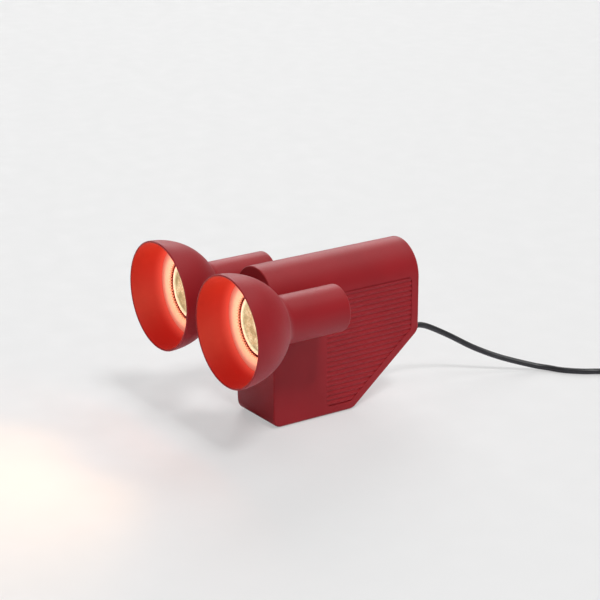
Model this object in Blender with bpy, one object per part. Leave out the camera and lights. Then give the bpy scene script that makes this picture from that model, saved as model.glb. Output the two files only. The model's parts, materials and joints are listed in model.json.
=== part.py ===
"""Table lamp: two tilting spot heads on the sides of a slim body with an arched top.

The front faces -Y, the near side faces +X, the floor is at Z = 0, and the origin is in the
middle of the flat underside. Every size is in metres. Each head turns about its own pivot
pipe, a hollow thread that also carries the lead from the body into the head.
"""

import math

import bmesh
import bpy
from mathutils import Matrix, Vector

mm = 0.001
degree = math.pi / 180

# Clearances, and how far a cutter reaches past what it cuts.
gap = 0.3 * mm
overrun = 4.0 * mm

# Body: the outline seen from the side, its arch and its edges.
body_width = 55.6 * mm
body_height = 131.6 * mm
body_length = 145.4 * mm
base_length = 78.3 * mm
slant_height = 56.5 * mm
underside_lift = 0.6 * mm
wall = 4.4 * mm
end_rim_radius = 1.1 * mm
foot_edge_radius = 3.8 * mm
steep_share = 0.25
slant_corner_radius = 9.0 * mm

# Ribbed side covers, and the pockets that hold them.
cover_setback = 52.0 * mm
cover_rear_margin = 7.5 * mm
cover_slant_margin = 7.0 * mm
cover_bottom_margin = 7.4 * mm
cover_top_rise = 1.6 * mm
cover_corner_radius = 4.0 * mm
pocket_depth = 2.9 * mm
cover_recess = 0.3 * mm
rib_pitch = 4.15 * mm
rib_height = 1.4 * mm
rib_crest_share = 0.4
rib_groove_share = 0.2
peg_radius = 1.6 * mm
peg_inset = 9.0 * mm

# Base plate, its pad and its screws, and the ballast that they hold.
plate_thickness = 2.0 * mm
pad_thickness = 1.6 * mm
pad_inset = 1.5 * mm
plate_corner_radius = 3.0 * mm
boss_radius = 4.2 * mm
boss_height = 13.0 * mm
boss_inset = 5.2 * mm
screw_radius = 1.5 * mm
screw_head_radius = 2.9 * mm
screw_head_height = 1.5 * mm
screw_length = 10.0 * mm
ballast_height = 20.0 * mm
ballast_edge = 1.5 * mm

# Mains entry: the cord, the sleeve that guards its bend, and the block where its cores end.
cord_diameter = 5.0 * mm
gland_height = 48.4 * mm
gland_tip_reach = 17.8 * mm
sleeve_radius = 4.8 * mm
sleeve_tip_radius = 3.5 * mm
sleeve_ring_count = 5
sleeve_ring_depth = 0.5 * mm
gland_flange_radius = 6.8 * mm
gland_flange_thickness = 2.5 * mm
gland_boss_radius = 8.2 * mm
block_width = 24.0 * mm
block_length = 16.0 * mm
block_height = 13.0 * mm
block_screw_radius = 2.2 * mm
block_screw_depth = 1.2 * mm

# Heads: a bell and a tube turned in one piece, on an axis beside the body.
head_offset = 51.9 * mm
pivot_drop = 0.4 * mm
pivot_setback = 20.4 * mm
rim_overhang = 59.5 * mm
tube_tail = 43.9 * mm
tube_radius = 19.5 * mm
tube_wall = 1.5 * mm
shade_radius = 45.6 * mm
shade_curve_depth = 53.5 * mm
shade_wall = 1.6 * mm
neck_fillet = 3.2 * mm
tube_edge_radius = 1.1 * mm
cap_thickness = 2.2 * mm
cap_recess = 0.4 * mm
cap_edge_chamfer = 0.5 * mm
cap_skirt_length = 5.0 * mm
cap_skirt_wall = 1.4 * mm
tilt_down = 35.0
tilt_up = 90.0

# Pivots.
pipe_radius = 5.0 * mm
pipe_bore_radius = 3.2 * mm
pivot_seat_radius = 8.5 * mm
pivot_seat_height = 0.5 * mm
pivot_seat_depth = 5.5 * mm
head_seat_radius = 8.0 * mm
washer_radius = 7.8 * mm
washer_thickness = 0.8 * mm
thrust_washer_thickness = 1.0 * mm
spring_washer_height = 1.4 * mm
spring_washer_strip = 0.5 * mm
spring_washer_waves = 3
nut_radius = 8.0 * mm
nut_thickness = 3.6 * mm
pipe_end_reach = 1.0 * mm
flange_radius = 7.4 * mm
flange_thickness = 2.0 * mm
flange_inset = 3.5 * mm

# Reflector bulbs, the rings round them and the holders behind them.
bulb_radius = 25.0 * mm
bulb_recess = 28.8 * mm
bulb_length = 46.0 * mm
bulb_rim_height = 3.0 * mm
bulb_neck_clearance = 0.9 * mm
bulb_base_radius = 12.5 * mm
bulb_rim_wall = 1.4 * mm
lens_thickness = 2.0 * mm
lens_set_back = 0.5 * mm
pin_spacing = 10.0 * mm
pin_radius = 2.5 * mm
pin_neck_radius = 1.6 * mm
pin_length = 7.5 * mm
pin_head_length = 3.0 * mm
ring_gap = 1.2 * mm
ring_thickness = 1.2 * mm
ring_rise = 3.8 * mm
ring_lip = 1.0 * mm
ring_fall = 2.0 * mm
ring_crown_radius = 31.5 * mm
ring_notch_count = 36
ring_notch_depth = 1.4 * mm
ring_notch_share = 0.42
holder_width = 16.0 * mm
holder_length = 16.0 * mm
holder_chamfer = 2.0 * mm
strap_thickness = 1.0 * mm
strap_width = 11.0 * mm
strap_tab_length = 6.0 * mm
holder_screw_length = 7.0 * mm

# Leads inside the lamp.
lead_diameter = 2.6 * mm

# The free cord: its length, the coil of what is put away, and the tie round it.
cord_length = 1800.0 * mm
coil_layer_count = 4
coil_turns_per_layer = 1.75
coil_climb_turns = 0.5
coil_turn_steps = 24
coil_gap = 0.8 * mm
tie_thickness = 0.8 * mm
tie_width = 8.0 * mm
link_length = 21.0 * mm
tail_length = 56.0 * mm
tail_turn = 20.0
cord_point_share = 2.2

# In-line switch.
switch_length = 56.0 * mm
switch_width = 24.0 * mm
switch_lower_height = 6.5 * mm
switch_upper_height = 7.0 * mm
switch_end_width = 11.0 * mm
switch_end_length = 13.0 * mm
switch_edge_radius = 1.5 * mm
rocker_length = 17.0 * mm
rocker_width = 9.0 * mm
rocker_radius = 14.0 * mm
rocker_tilt = 7.0
rocker_clearance = 0.6 * mm
rocker_pin_radius = 1.2 * mm
rocker_pin_length = 1.5 * mm
rocker_rise = 1.2 * mm
rocker_top_inset = 1.0 * mm

# Plug with two round pins.
plug_length = 37.0 * mm
plug_width = 35.3 * mm
plug_flat_width = 26.1 * mm
plug_height = 13.7 * mm
plug_face_bevel = 1.2 * mm
plug_size_shares = [(0.0, 0.34, 0.72), (0.18, 0.42, 0.78), (0.42, 0.9, 1.0), (0.55, 1.0, 1.0)]
plug_pin_radius = 2.0 * mm
plug_pin_length = 19.0 * mm
plug_pin_spacing = 18.6 * mm
plug_pin_sleeve_length = 10.0 * mm
plug_pin_sleeve_wall = 0.3 * mm

# How finely round forms are cut into flat faces.
arch_steps = 16
tube_steps = 32
bell_steps = 7
washer_steps = 20
small_steps = 12
corner_steps = 3
rim_steps = 2
fine_steps = 40
sharp_angle = 60 * degree
smooth_angle = 35 * degree

# Places worked out from the sizes above.
half_width = body_width / 2
front_y = -base_length / 2
rear_y = front_y + body_length
slant_start_y = front_y + base_length
spring_z = body_height - half_width
head_height = spring_z - pivot_drop
pivot_y = front_y + pivot_setback
rim_y = -(rim_overhang + pivot_setback)
tail_y = tube_tail - pivot_setback
bulb_y = rim_y + bulb_recess
tube_bore = tube_radius - tube_wall
plate_z = pad_thickness + gap
plate_top_z = plate_z + plate_thickness
inner_half_width = half_width - wall
slant_direction = Vector((0, rear_y - slant_start_y, slant_height - underside_lift)).normalized()
slant_normal = Vector((0, slant_direction.z, -slant_direction.y))


def make_material(name, color, roughness, metallic=0.0, emission=0.0):
    """A plain Principled surface."""
    material = bpy.data.materials.new(name)
    material.use_nodes = True
    shader = material.node_tree.nodes["Principled BSDF"]
    shader.inputs["Base Color"].default_value = (*color, 1)
    shader.inputs["Roughness"].default_value = roughness
    shader.inputs["Metallic"].default_value = metallic
    if emission:
        shader.inputs["Emission Color"].default_value = (*color, 1)
        shader.inputs["Emission Strength"].default_value = emission
    material.diffuse_color = (*color, 1)
    return material


def make_place(name, location, turn=0.0):
    """An empty that carries the pieces of one group, turned about Z."""
    place = bpy.data.objects.new(name, None)
    place.location = location
    place.rotation_euler = (0, 0, turn)
    place.empty_display_size = body_width
    bpy.context.scene.collection.objects.link(place)
    return place


def finish(bm):
    """Weld the seams of a shape and turn its faces outwards."""
    bmesh.ops.remove_doubles(bm, verts=bm.verts, dist=gap / 100)
    bmesh.ops.dissolve_degenerate(bm, edges=bm.edges, dist=gap / 100)
    bmesh.ops.recalc_face_normals(bm, faces=bm.faces)
    return bm


def make_piece(name, bm, material, place=None, location=(0, 0, 0)):
    """Put a finished shape in the scene as one named piece."""
    mesh = bpy.data.meshes.new(name)
    finish(bm).to_mesh(mesh)
    bm.free()
    mesh.shade_smooth()
    mesh.set_sharp_from_angle(angle=smooth_angle)
    mesh.materials.append(material)
    piece = bpy.data.objects.new(name, mesh)
    piece.location = location
    piece.parent = place
    bpy.context.scene.collection.objects.link(piece)
    return piece


def combine(bm, tool, operation):
    """The Boolean of two closed shapes, as a new shape."""
    pieces = []
    for part in (bm, tool):
        mesh = bpy.data.meshes.new("boolean")
        finish(part).to_mesh(mesh)
        part.free()
        piece = bpy.data.objects.new("boolean", mesh)
        bpy.context.scene.collection.objects.link(piece)
        pieces.append(piece)
    modifier = pieces[0].modifiers.new("boolean", "BOOLEAN")
    modifier.solver = "EXACT"
    modifier.operation = operation
    modifier.object = pieces[1]
    graph = bpy.context.evaluated_depsgraph_get()
    result = bmesh.new()
    result.from_object(pieces[0], graph)
    for piece in pieces:
        mesh = piece.data
        bpy.data.objects.remove(piece)
        bpy.data.meshes.remove(mesh)
    return result


def cut(bm, *tools):
    """Take shapes out of a shape."""
    for tool in tools:
        bm = combine(bm, tool, "DIFFERENCE")
    return bm


def join(bm, *tools):
    """Fuse shapes into one."""
    for tool in tools:
        bm = combine(bm, tool, "UNION")
    return bm


def mirrored(bm):
    """The same shape on the other side of the middle plane."""
    bmesh.ops.scale(bm, vec=(-1, 1, 1), verts=bm.verts)
    bmesh.ops.reverse_faces(bm, faces=bm.faces)
    return bm


def lathe(profile, steps, axis="Y", ring=False):
    """Turn (radius, place along the axis) points about an axis through the origin."""
    bm = bmesh.new()
    along = {"X": Vector((1, 0, 0)), "Y": Vector((0, 1, 0)), "Z": Vector((0, 0, 1))}[axis]
    out = Vector((0, 0, 1)) if axis != "Z" else Vector((1, 0, 0))
    verts = [bm.verts.new(out * radius + along * place) for radius, place in profile]
    edges = [bm.edges.new(pair) for pair in zip(verts, verts[1:])]
    if ring:
        edges.append(bm.edges.new((verts[-1], verts[0])))
    bmesh.ops.spin(bm, geom=verts + edges, axis=along, cent=(0, 0, 0), steps=steps,
                   angle=2 * math.pi, use_merge=True)
    return finish(bm)


def rod(radius, start, end, axis="Y", steps=small_steps):
    """A round bar along an axis through the origin."""
    return lathe([(0, start), (radius, start), (radius, end), (0, end)], steps, axis)


def washer(outer, inner, start, end, axis="X", steps=washer_steps):
    """A flat ring along an axis through the origin."""
    return lathe([(inner, start), (outer, start), (outer, end), (inner, end)], steps, axis, True)


def prism(outline, offset):
    """A flat outline, given as points, drawn out along an offset."""
    bm = bmesh.new()
    face = bm.faces.new([bm.verts.new(point) for point in outline])
    moved = bmesh.ops.extrude_face_region(bm, geom=[face])["geom"]
    verts = [item for item in moved if isinstance(item, bmesh.types.BMVert)]
    bmesh.ops.translate(bm, verts=verts, vec=offset)
    return finish(bm)


def box(low, high):
    """A block between two corners."""
    bm = bmesh.new()
    bmesh.ops.create_cube(bm, size=1)
    size = [b - a for a, b in zip(low, high)]
    middle = [(a + b) / 2 for a, b in zip(low, high)]
    bmesh.ops.scale(bm, vec=size, verts=bm.verts)
    bmesh.ops.translate(bm, vec=middle, verts=bm.verts)
    return bm


def moved(bm, offset):
    """The same shape, moved."""
    bmesh.ops.translate(bm, vec=offset, verts=bm.verts)
    return bm


def turned(bm, angle, axis):
    """The same shape, turned about an axis through the origin."""
    bmesh.ops.rotate(bm, cent=(0, 0, 0), matrix=Matrix.Rotation(angle, 3, axis), verts=bm.verts)
    return bm


def round_edges(bm, edges, radius, steps):
    """Round sharp edges to one radius, whatever the angle at each."""
    for edge in edges:
        offset = radius * math.tan(edge.calc_face_angle() / 2)
        bmesh.ops.bevel(bm, geom=[edge], offset=offset, segments=steps, profile=0.5,
                        affect="EDGES", clamp_overlap=False, material=-1)
    return bm


def round_all(bm, edges, radius, steps):
    """Round a set of right-angled edges together, so that their corners meet."""
    bmesh.ops.bevel(bm, geom=edges, offset=radius, segments=steps, profile=0.5,
                    affect="EDGES", clamp_overlap=False, material=-1)
    return bm


def edges_along(bm, axis):
    """The edges that run along one axis."""
    way = Vector((0, 0, 0))
    way[axis] = 1
    return [e for e in bm.edges
            if abs((e.verts[1].co - e.verts[0].co).normalized().dot(way)) > 0.999]


def round_corners(bm, axis, radius, steps=corner_steps):
    """Round the corners of a straight block whose edges run along an axis."""
    return round_all(bm, edges_along(bm, axis), radius, steps)


def rounded_box(low, high, radius, axis=2, steps=corner_steps):
    """A block with four rounded corners, seen along an axis."""
    return round_corners(box(low, high), axis, radius, steps)


def body_form(inset, bottom_z, corner_radius):
    """The arched block with its slanted lower rear, drawn in by an inset all round."""
    half = half_width - inset
    start_y = front_y + inset
    outline = [Vector((half, start_y, bottom_z))]
    for step in range(arch_steps + 1):
        angle = math.pi * step / arch_steps
        outline.append(Vector((half * math.cos(angle), start_y, spring_z + half * math.sin(angle))))
    outline.append(Vector((-half, start_y, bottom_z)))
    bm = prism(outline, (0, body_length - 2 * inset, 0))
    foot = Vector((0, slant_start_y, underside_lift)) - slant_normal * inset
    geometry = list(bm.verts) + list(bm.edges) + list(bm.faces)
    sliced = bmesh.ops.bisect_plane(bm, geom=geometry, plane_co=foot, plane_no=slant_normal,
                                    clear_outer=True)["geom_cut"]
    bmesh.ops.edgeloop_fill(bm, edges=[e for e in sliced if isinstance(e, bmesh.types.BMEdge)])
    finish(bm)
    slant = max(bm.faces, key=lambda face: face.normal.dot(slant_normal))
    across = [e for e in slant.edges if abs(e.verts[0].co.x - e.verts[1].co.x) > half
              and e.verts[0].co.z > bottom_z - gap]
    return round_edges(bm, across, corner_radius, corner_steps)


def body_ring(y, inset, bottom_z, corner_radius, slope=0.0):
    """The body's section at a place along it: an arch that stands on two rounded corners."""
    half = half_width - inset
    across = max(corner_radius - inset, gap)
    up = across / max(math.cos(slope), steep_share)
    ring = []
    for step in range(arch_steps + 1):
        angle = math.pi * step / arch_steps
        ring.append(Vector((half * math.cos(angle), y, spring_z + half * math.sin(angle))))
    corner = []
    for step in range(corner_steps + 1):
        angle = math.pi / 2 * step / corner_steps
        corner.append((half - across * (1 - math.cos(angle)), bottom_z + up * (1 - math.sin(angle))))
    ring += [Vector((-x, y, z)) for x, z in corner]
    ring += [Vector((x, y, z)) for x, z in reversed(corner)]
    return ring


def loft(rings):
    """Join rings of as many points each into one closed skin."""
    bm = bmesh.new()
    loops = [[bm.verts.new(point) for point in ring] for ring in rings]
    for near, far in zip(loops, loops[1:]):
        for i in range(len(near)):
            j = i - 1
            bm.faces.new((near[j], near[i], far[i], far[j]))
    bm.faces.new(loops[0])
    bm.faces.new(loops[-1])
    return finish(bm)


def outer_form():
    """The outside of the body, lofted from its front rim over the slant to its rear rim."""
    slope = math.atan2(slant_direction.z, slant_direction.y)
    rim, foot, bend = end_rim_radius, foot_edge_radius, slant_corner_radius
    rim_angles = [math.pi / 2 * step / rim_steps for step in range(rim_steps + 1)]
    rings = []
    for angle in rim_angles:
        inset = rim * (1 - math.sin(angle))
        rings.append(body_ring(front_y + rim * (1 - math.cos(angle)), inset, underside_lift + inset, foot))
    toe_y = slant_start_y - bend * math.tan(slope / 2)
    for step in range(corner_steps + 1):
        share = step / corner_steps
        angle = slope * share
        rings.append(body_ring(toe_y + bend * math.sin(angle), 0,
                               underside_lift + bend * (1 - math.cos(angle)),
                               foot + (rim - foot) * share, angle))
    heel_y = rear_y - bend
    heel_z = slant_height + bend * math.tan((math.pi / 2 - slope) / 2)
    rim_start = math.asin(1 - rim / bend)
    for step in range(rim_steps):
        angle = slope + (rim_start - slope) * step / rim_steps
        rings.append(body_ring(heel_y + bend * math.sin(angle), 0, heel_z - bend * math.cos(angle), rim, angle))
    for rim_angle in reversed(rim_angles):
        y = rear_y - rim * (1 - math.cos(rim_angle))
        angle = math.asin(min((y - heel_y) / bend, 1.0))
        rings.append(body_ring(y, rim * (1 - math.sin(rim_angle)), heel_z - bend * math.cos(angle), rim, angle))
    return loft(rings)


def cover_outline(margin, x):
    """The five-sided outline of a side cover, drawn in by a margin, at a place across the body."""
    front = front_y + cover_setback + margin
    rear = rear_y - cover_rear_margin - margin
    bottom = underside_lift + cover_bottom_margin + margin
    top = spring_z + cover_top_rise - margin
    low_y = slant_y(bottom, cover_slant_margin + margin)
    corner_z = bottom + (rear - low_y) * slant_direction.z / slant_direction.y
    places = [(front, bottom), (front, top), (rear, top), (rear, corner_z), (low_y, bottom)]
    return [Vector((x, y, z)) for y, z in places]


def cover_block(margin, x, depth):
    """A block with the outline of a side cover and rounded corners."""
    bm = prism(cover_outline(margin, x), (depth, 0, 0))
    return round_edges_of_outline(bm, cover_corner_radius)


def round_edges_of_outline(bm, radius):
    """Round the corners of a block that was drawn out along X."""
    return round_edges(bm, edges_along(bm, 0), radius, corner_steps)


def peg_places():
    """Where the pegs of a side cover go through the bottom of its pocket."""
    front, _, top_rear, _, low = cover_outline(peg_inset, 0)
    upper = Vector((0, front.y, top_rear.z))
    middle = Vector((0, front.y, (front.z + top_rear.z) / 2))
    return [Vector((0, front.y, front.z)), middle + (top_rear - upper) / 2, top_rear,
            Vector((0, low.y, low.z))]


def screw_places():
    """The base screws stand beside the side walls, ahead of and behind the ballast."""
    x = half_width - wall - boss_radius + gap * 2
    front = front_y + wall + boss_inset
    rear = slant_y(underside_lift, wall) - boss_inset
    return [Vector((side * x, y, 0)) for side in (-1, 1) for y in (front, rear)]


def slant_y(z, inset):
    """Where the slanted wall stands at a height, at an inset from its outside."""
    foot = Vector((0, slant_start_y, underside_lift)) - slant_normal * inset
    return foot.y + (z - foot.z) * slant_direction.y / slant_direction.z


def plate_rear_y():
    """The inside of the slanted wall at the underside."""
    return slant_y(underside_lift, wall)


def gland_seat_y():
    """The flat end of the gland's boss: its flange just clears the slanted wall below it."""
    return slant_y(gland_height - gland_flange_radius - gap, wall)


def cavity_form():
    """The hollow of the housing: open below, with bosses left standing in it."""
    hollow = body_form(wall, underside_lift - overrun, slant_corner_radius / 2)
    seats = []
    for side in (-1, 1):
        inner, outer = half_width - pivot_seat_depth, half_width + overrun
        seats.append(moved(rod(pivot_seat_radius, side * inner, side * outer, "X", washer_steps),
                           (0, pivot_y, head_height)))
    for spot in screw_places():
        boss = rod(boss_radius, plate_top_z + gap, plate_top_z + gap + boss_height, "Z")
        seats.append(moved(boss, spot))
    gland = rod(gland_boss_radius, gland_seat_y(), rear_y + overrun, "Y", washer_steps)
    seats.append(moved(gland, (0, 0, gland_height)))
    return cut(hollow, *seats)


def housing():
    """The hollow shell with its pockets, pivot seats and holes."""
    reach = half_width + pivot_seat_height
    seat = moved(rod(pivot_seat_radius, -reach, reach, "X", tube_steps), (0, pivot_y, head_height))
    bm = cut(join(outer_form(), seat), cavity_form())
    tools = [moved(rod(pipe_radius + gap, -reach - overrun, reach + overrun, "X", washer_steps),
                   (0, pivot_y, head_height))]
    tools.append(moved(rod(sleeve_radius + gap, 0, rear_y + overrun, "Y", washer_steps),
                       (0, 0, gland_height)))
    for spot in screw_places():
        deep = plate_top_z + gap + screw_length
        tools.append(moved(rod(screw_radius + gap, 0, deep, "Z"), spot))
    pocket_x = half_width - pocket_depth
    for side in (-1, 1):
        tools.append(cover_block(0, side * pocket_x, side * (pocket_depth + overrun)))
        for spot in peg_places():
            ends = (side * (half_width - wall - overrun), side * half_width)
            tools.append(moved(rod(peg_radius + gap, *ends, "X"), spot))
    return cut(bm, *tools)


def side_cover():
    """A ribbed plate that fills a pocket, with pegs on its back."""
    back = half_width - pocket_depth + gap
    crest = half_width - cover_recess
    groove = crest - rib_height
    low, high, _, _, _ = cover_outline(gap, 0)
    bottom, top = low.z, high.z
    count = max(1, round((top - bottom) / rib_pitch))
    pitch = (top - bottom) / count
    section = [(back, bottom)]
    for rib in range(count):
        z = bottom + rib * pitch
        section += [(groove, z), (groove, z + pitch * rib_groove_share / 2),
                    (crest, z + pitch * (1 - rib_crest_share) / 2),
                    (crest, z + pitch * (1 + rib_crest_share) / 2),
                    (groove, z + pitch * (1 - rib_groove_share / 2))]
    section += [(groove, top), (back, top)]
    start = front_y + cover_setback
    length = rear_y - start
    ribbed = prism([Vector((x, start, z)) for x, z in section], (0, length, 0))
    plate = combine(ribbed, cover_block(gap, back - overrun, wall + 2 * overrun), "INTERSECT")
    peg_tip = half_width - wall
    pegs = [moved(rod(peg_radius, peg_tip, back + gap, "X"), spot) for spot in peg_places()]
    return join(plate, *pegs)


def base_plate():
    """The steel plate that closes the underside, countersunk from below."""
    half = inner_half_width - gap
    low = (-half, front_y + wall + gap, plate_z)
    high = (half, plate_rear_y() - gap, plate_top_z)
    tools = []
    for spot in screw_places():
        head = screw_head_radius + gap
        hole = screw_radius + gap
        cone = [(0, plate_z - overrun), (head, plate_z - overrun), (head, plate_z),
                (hole, plate_z + screw_head_height), (hole, plate_top_z + overrun),
                (0, plate_top_z + overrun)]
        tools.append(moved(lathe(cone, small_steps, "Z"), spot))
    return cut(rounded_box(low, high, plate_corner_radius), *tools)


def base_pad():
    """The soft pad that the lamp stands on."""
    half = inner_half_width - gap - pad_inset
    low = (-half, front_y + wall + gap + pad_inset, 0)
    high = (half, plate_rear_y() - gap - pad_inset, pad_thickness)
    return rounded_box(low, high, plate_corner_radius)


def base_screw():
    """A countersunk screw, head down."""
    bottom = plate_z + gap
    shape = [(0, bottom), (screw_head_radius, bottom), (screw_radius, bottom + screw_head_height),
             (screw_radius, plate_z + screw_length), (0, plate_z + screw_length)]
    return lathe(shape, small_steps, "Z")


def ballast():
    """The iron block that keeps the lamp upright, between the bosses."""
    half = inner_half_width - 2 * gap
    ys = [spot.y for spot in screw_places()]
    inset = boss_radius + 2 * gap
    bottom = plate_top_z + gap
    low = (-half, min(ys) + inset, bottom)
    high = (half, max(ys) - inset, bottom + ballast_height)
    return rounded_box(low, high, ballast_edge, 2, rim_steps)


def terminal_block():
    """The nylon block on the ballast, with its two screw wells."""
    bottom = plate_top_z + 2 * gap + ballast_height
    y = block_centre_y()
    low = (-block_width / 2, y - block_length / 2, bottom)
    high = (block_width / 2, y + block_length / 2, bottom + block_height)
    wells = []
    for side in (-1, 1):
        well = rod(block_screw_radius, high[2] - block_screw_depth, high[2] + overrun, "Z")
        wells.append(moved(well, (side * block_width / 4, y, 0)))
    return cut(box(low, high), *wells)


def block_centre_y():
    """The terminal block stands over the middle of the ballast."""
    ys = [spot.y for spot in screw_places()]
    return (min(ys) + max(ys)) / 2


def cord_gland():
    """The bend sleeve: a flange inside, a grooved taper outside."""
    seat = gland_seat_y() - gap
    mouth = slant_y(gland_height + sleeve_radius, 0)
    tip = rear_y + gland_tip_reach
    shape = [(0, seat - gland_flange_thickness), (gland_flange_radius, seat - gland_flange_thickness),
             (gland_flange_radius, seat), (sleeve_radius, seat), (sleeve_radius, mouth)]
    step = (tip - mouth) / (2 * sleeve_ring_count)
    for ring in range(sleeve_ring_count):
        near = mouth + step * (2 * ring + 1)
        far = near + step
        for place, drop in ((near, 0), (near, 1), (far, 1), (far, 0)):
            share = (place - mouth) / (tip - mouth)
            radius = sleeve_radius + (sleeve_tip_radius - sleeve_radius) * share
            shape.append((radius - drop * sleeve_ring_depth, place))
    shape = shape[:-2] + [(sleeve_tip_radius - sleeve_ring_depth, tip), (0, tip)]
    return moved(lathe(shape, washer_steps, "Y"), (0, 0, gland_height))


def bell_radius(y, inset=0.0):
    """The bell's radius at a place along the head's axis."""
    share = (y - rim_y) / (shade_curve_depth - inset)
    return (shade_radius - inset) * math.sqrt(max(0.0, 1 - share * share))


def bell_curve(inset, end_radius):
    """Points along the bell, from its rim to where it has narrowed to a radius."""
    last = math.acos(end_radius / (shade_radius - inset))
    points = []
    for step in range(bell_steps + 1):
        angle = last * step / bell_steps
        points.append(((shade_radius - inset) * math.cos(angle),
                       rim_y + (shade_curve_depth - inset) * math.sin(angle)))
    return points


def head_shell():
    """Bell and tube in one piece, with the seat that takes the pivot."""
    outer = bell_curve(0, tube_radius + neck_fillet / 2)
    crease = (tube_radius, bell_curve(0, tube_radius)[-1][1])
    landing = (tube_radius, crease[1] + neck_fillet)
    start = outer[-1]
    for step in range(1, corner_steps + 1):
        t = step / corner_steps
        weights = ((1 - t) ** 2, 2 * t * (1 - t), t * t)
        outer.append(tuple(sum(w * p[k] for w, p in zip(weights, (start, crease, landing)))
                           for k in (0, 1)))
    edge = [(tube_radius - tube_edge_radius * (1 - math.cos(math.pi / 2 * step / corner_steps)),
             tail_y - tube_edge_radius * (1 - math.sin(math.pi / 2 * step / corner_steps)))
            for step in range(corner_steps + 1)]
    inner = bell_curve(shade_wall, tube_bore)
    shape = outer + edge + [(tube_bore, tail_y)] + inner[::-1]
    bm = lathe(shape, tube_steps, "Y", True)
    face = -(head_offset - head_face_x())
    seat_depth = tube_bore - flange_inset + flange_thickness
    seat = rod(head_seat_radius, face, -seat_depth, "X", washer_steps)
    bore = rod(pipe_radius + gap, face - overrun, 0, "X", washer_steps)
    return cut(join(bm, seat), bore)


def head_face_x():
    """Where the head's seat faces the friction washer, across the body."""
    return half_width + pivot_seat_height + 2 * gap + washer_thickness


def rear_cap():
    """The cap pressed into the tail of the tube, a little below its edge."""
    back = tail_y - cap_recess
    front = back - cap_thickness
    radius = tube_bore - gap
    shape = [(0, back), (radius - cap_edge_chamfer, back), (radius, back - cap_edge_chamfer),
             (radius, front - cap_skirt_length), (radius - cap_skirt_wall, front - cap_skirt_length),
             (radius - cap_skirt_wall, front), (0, front)]
    return lathe(shape, tube_steps, "Y")


def pivot_pipe():
    """The hollow thread: its flange inside the tube, its end inside the body."""
    flange_x = -(tube_bore - flange_inset + flange_thickness) + gap
    inner_x = -(head_offset - nut_inner_x()) - pipe_end_reach
    shape = [(pipe_bore_radius, inner_x), (pipe_radius, inner_x), (pipe_radius, flange_x),
             (flange_radius, flange_x), (flange_radius, flange_x + flange_thickness),
             (pipe_bore_radius, flange_x + flange_thickness)]
    return lathe(shape, washer_steps, "X", True)


def stack_x():
    """Across the body, from its inner seat: where each piece on the pipe starts and ends."""
    seat = half_width - pivot_seat_depth - gap
    thrust = (seat - thrust_washer_thickness, seat)
    spring = (thrust[0] - gap - spring_washer_height, thrust[0] - gap)
    nut = (spring[0] - gap - nut_thickness, spring[0] - gap)
    return thrust, spring, nut


def nut_inner_x():
    """The nut's inner face, across the body."""
    return stack_x()[2][0]


def friction_washer():
    """The fibre washer between body and head."""
    start = half_width + pivot_seat_height + gap
    return washer(washer_radius, pipe_radius + gap, start, start + washer_thickness)


def thrust_washer():
    """The steel washer on the inner seat."""
    return washer(washer_radius, pipe_radius + gap, *stack_x()[0])


def spring_washer():
    """A waved ring that keeps the friction even."""
    start, end = stack_x()[1]
    bm = washer(washer_radius - gap, pipe_radius + gap, start, start + spring_washer_strip)
    swing = (end - start - spring_washer_strip) / 2
    for vert in bm.verts:
        angle = math.atan2(vert.co.z, vert.co.y)
        vert.co.x += swing * (1 + math.cos(spring_washer_waves * angle))
    return bm


def pivot_nut():
    """The thin hexagon nut on the pipe."""
    start, end = stack_x()[2]
    shift = -(head_offset)
    body = rod(nut_radius, start + shift, end + shift, "X", 6)
    return cut(body, rod(pipe_radius + gap, start + shift - overrun, end + shift + overrun, "X"))


def bulb_outline():
    """The bulb from its face rim to its base, as (radius, place) points."""
    neck_y = bell_curve(0, tube_radius)[-1][1]
    neck = tube_bore - bulb_neck_clearance
    share = (neck / bulb_radius) ** 2
    start = bulb_y + bulb_rim_height
    vertex = (neck_y - share * start) / (1 - share)
    stop = vertex - (vertex - start) * (bulb_base_radius / bulb_radius) ** 2
    points = [(bulb_radius, bulb_y), (bulb_radius, start)]
    for step in range(1, bell_steps):
        y = start + (stop - start) * step / (bell_steps - 1)
        points.append((bulb_radius * math.sqrt((vertex - y) / (vertex - start)), y))
    points.append((bulb_base_radius, bulb_y + bulb_length))
    return points


def bulb_pin(side, extra=0.0):
    """One of the two bulb pins, with its wider foot."""
    base = bulb_y + bulb_length
    neck, head = pin_neck_radius + extra, pin_radius + extra
    tip = base + pin_length + extra
    shape = [(0, base - cap_thickness), (neck, base - cap_thickness),
             (neck, tip - pin_head_length - extra), (head, tip - pin_head_length - extra),
             (head, tip), (0, tip)]
    return moved(lathe(shape, small_steps, "Y"), (0, 0, side * pin_spacing / 2))


def bulb_body():
    """The reflector bulb, recessed for its lens, with its two pins."""
    pocket = bulb_radius - bulb_rim_wall
    floor = bulb_y + lens_set_back + lens_thickness + gap
    shape = [(0, floor), (pocket, floor), (pocket, bulb_y)] + bulb_outline()
    shape.append((0, bulb_y + bulb_length))
    return join(lathe(shape, tube_steps, "Y"), bulb_pin(-1), bulb_pin(1))


def bulb_lens():
    """The lens in the bulb's face, slightly crowned."""
    radius = bulb_radius - bulb_rim_wall - gap
    front = bulb_y + lens_set_back
    back = front + lens_thickness
    shape = [(0, front - lens_set_back / 2), (radius / 2, front - lens_set_back / 3),
             (radius, front), (radius, back), (0, back)]
    return lathe(shape, tube_steps, "Y")


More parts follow.
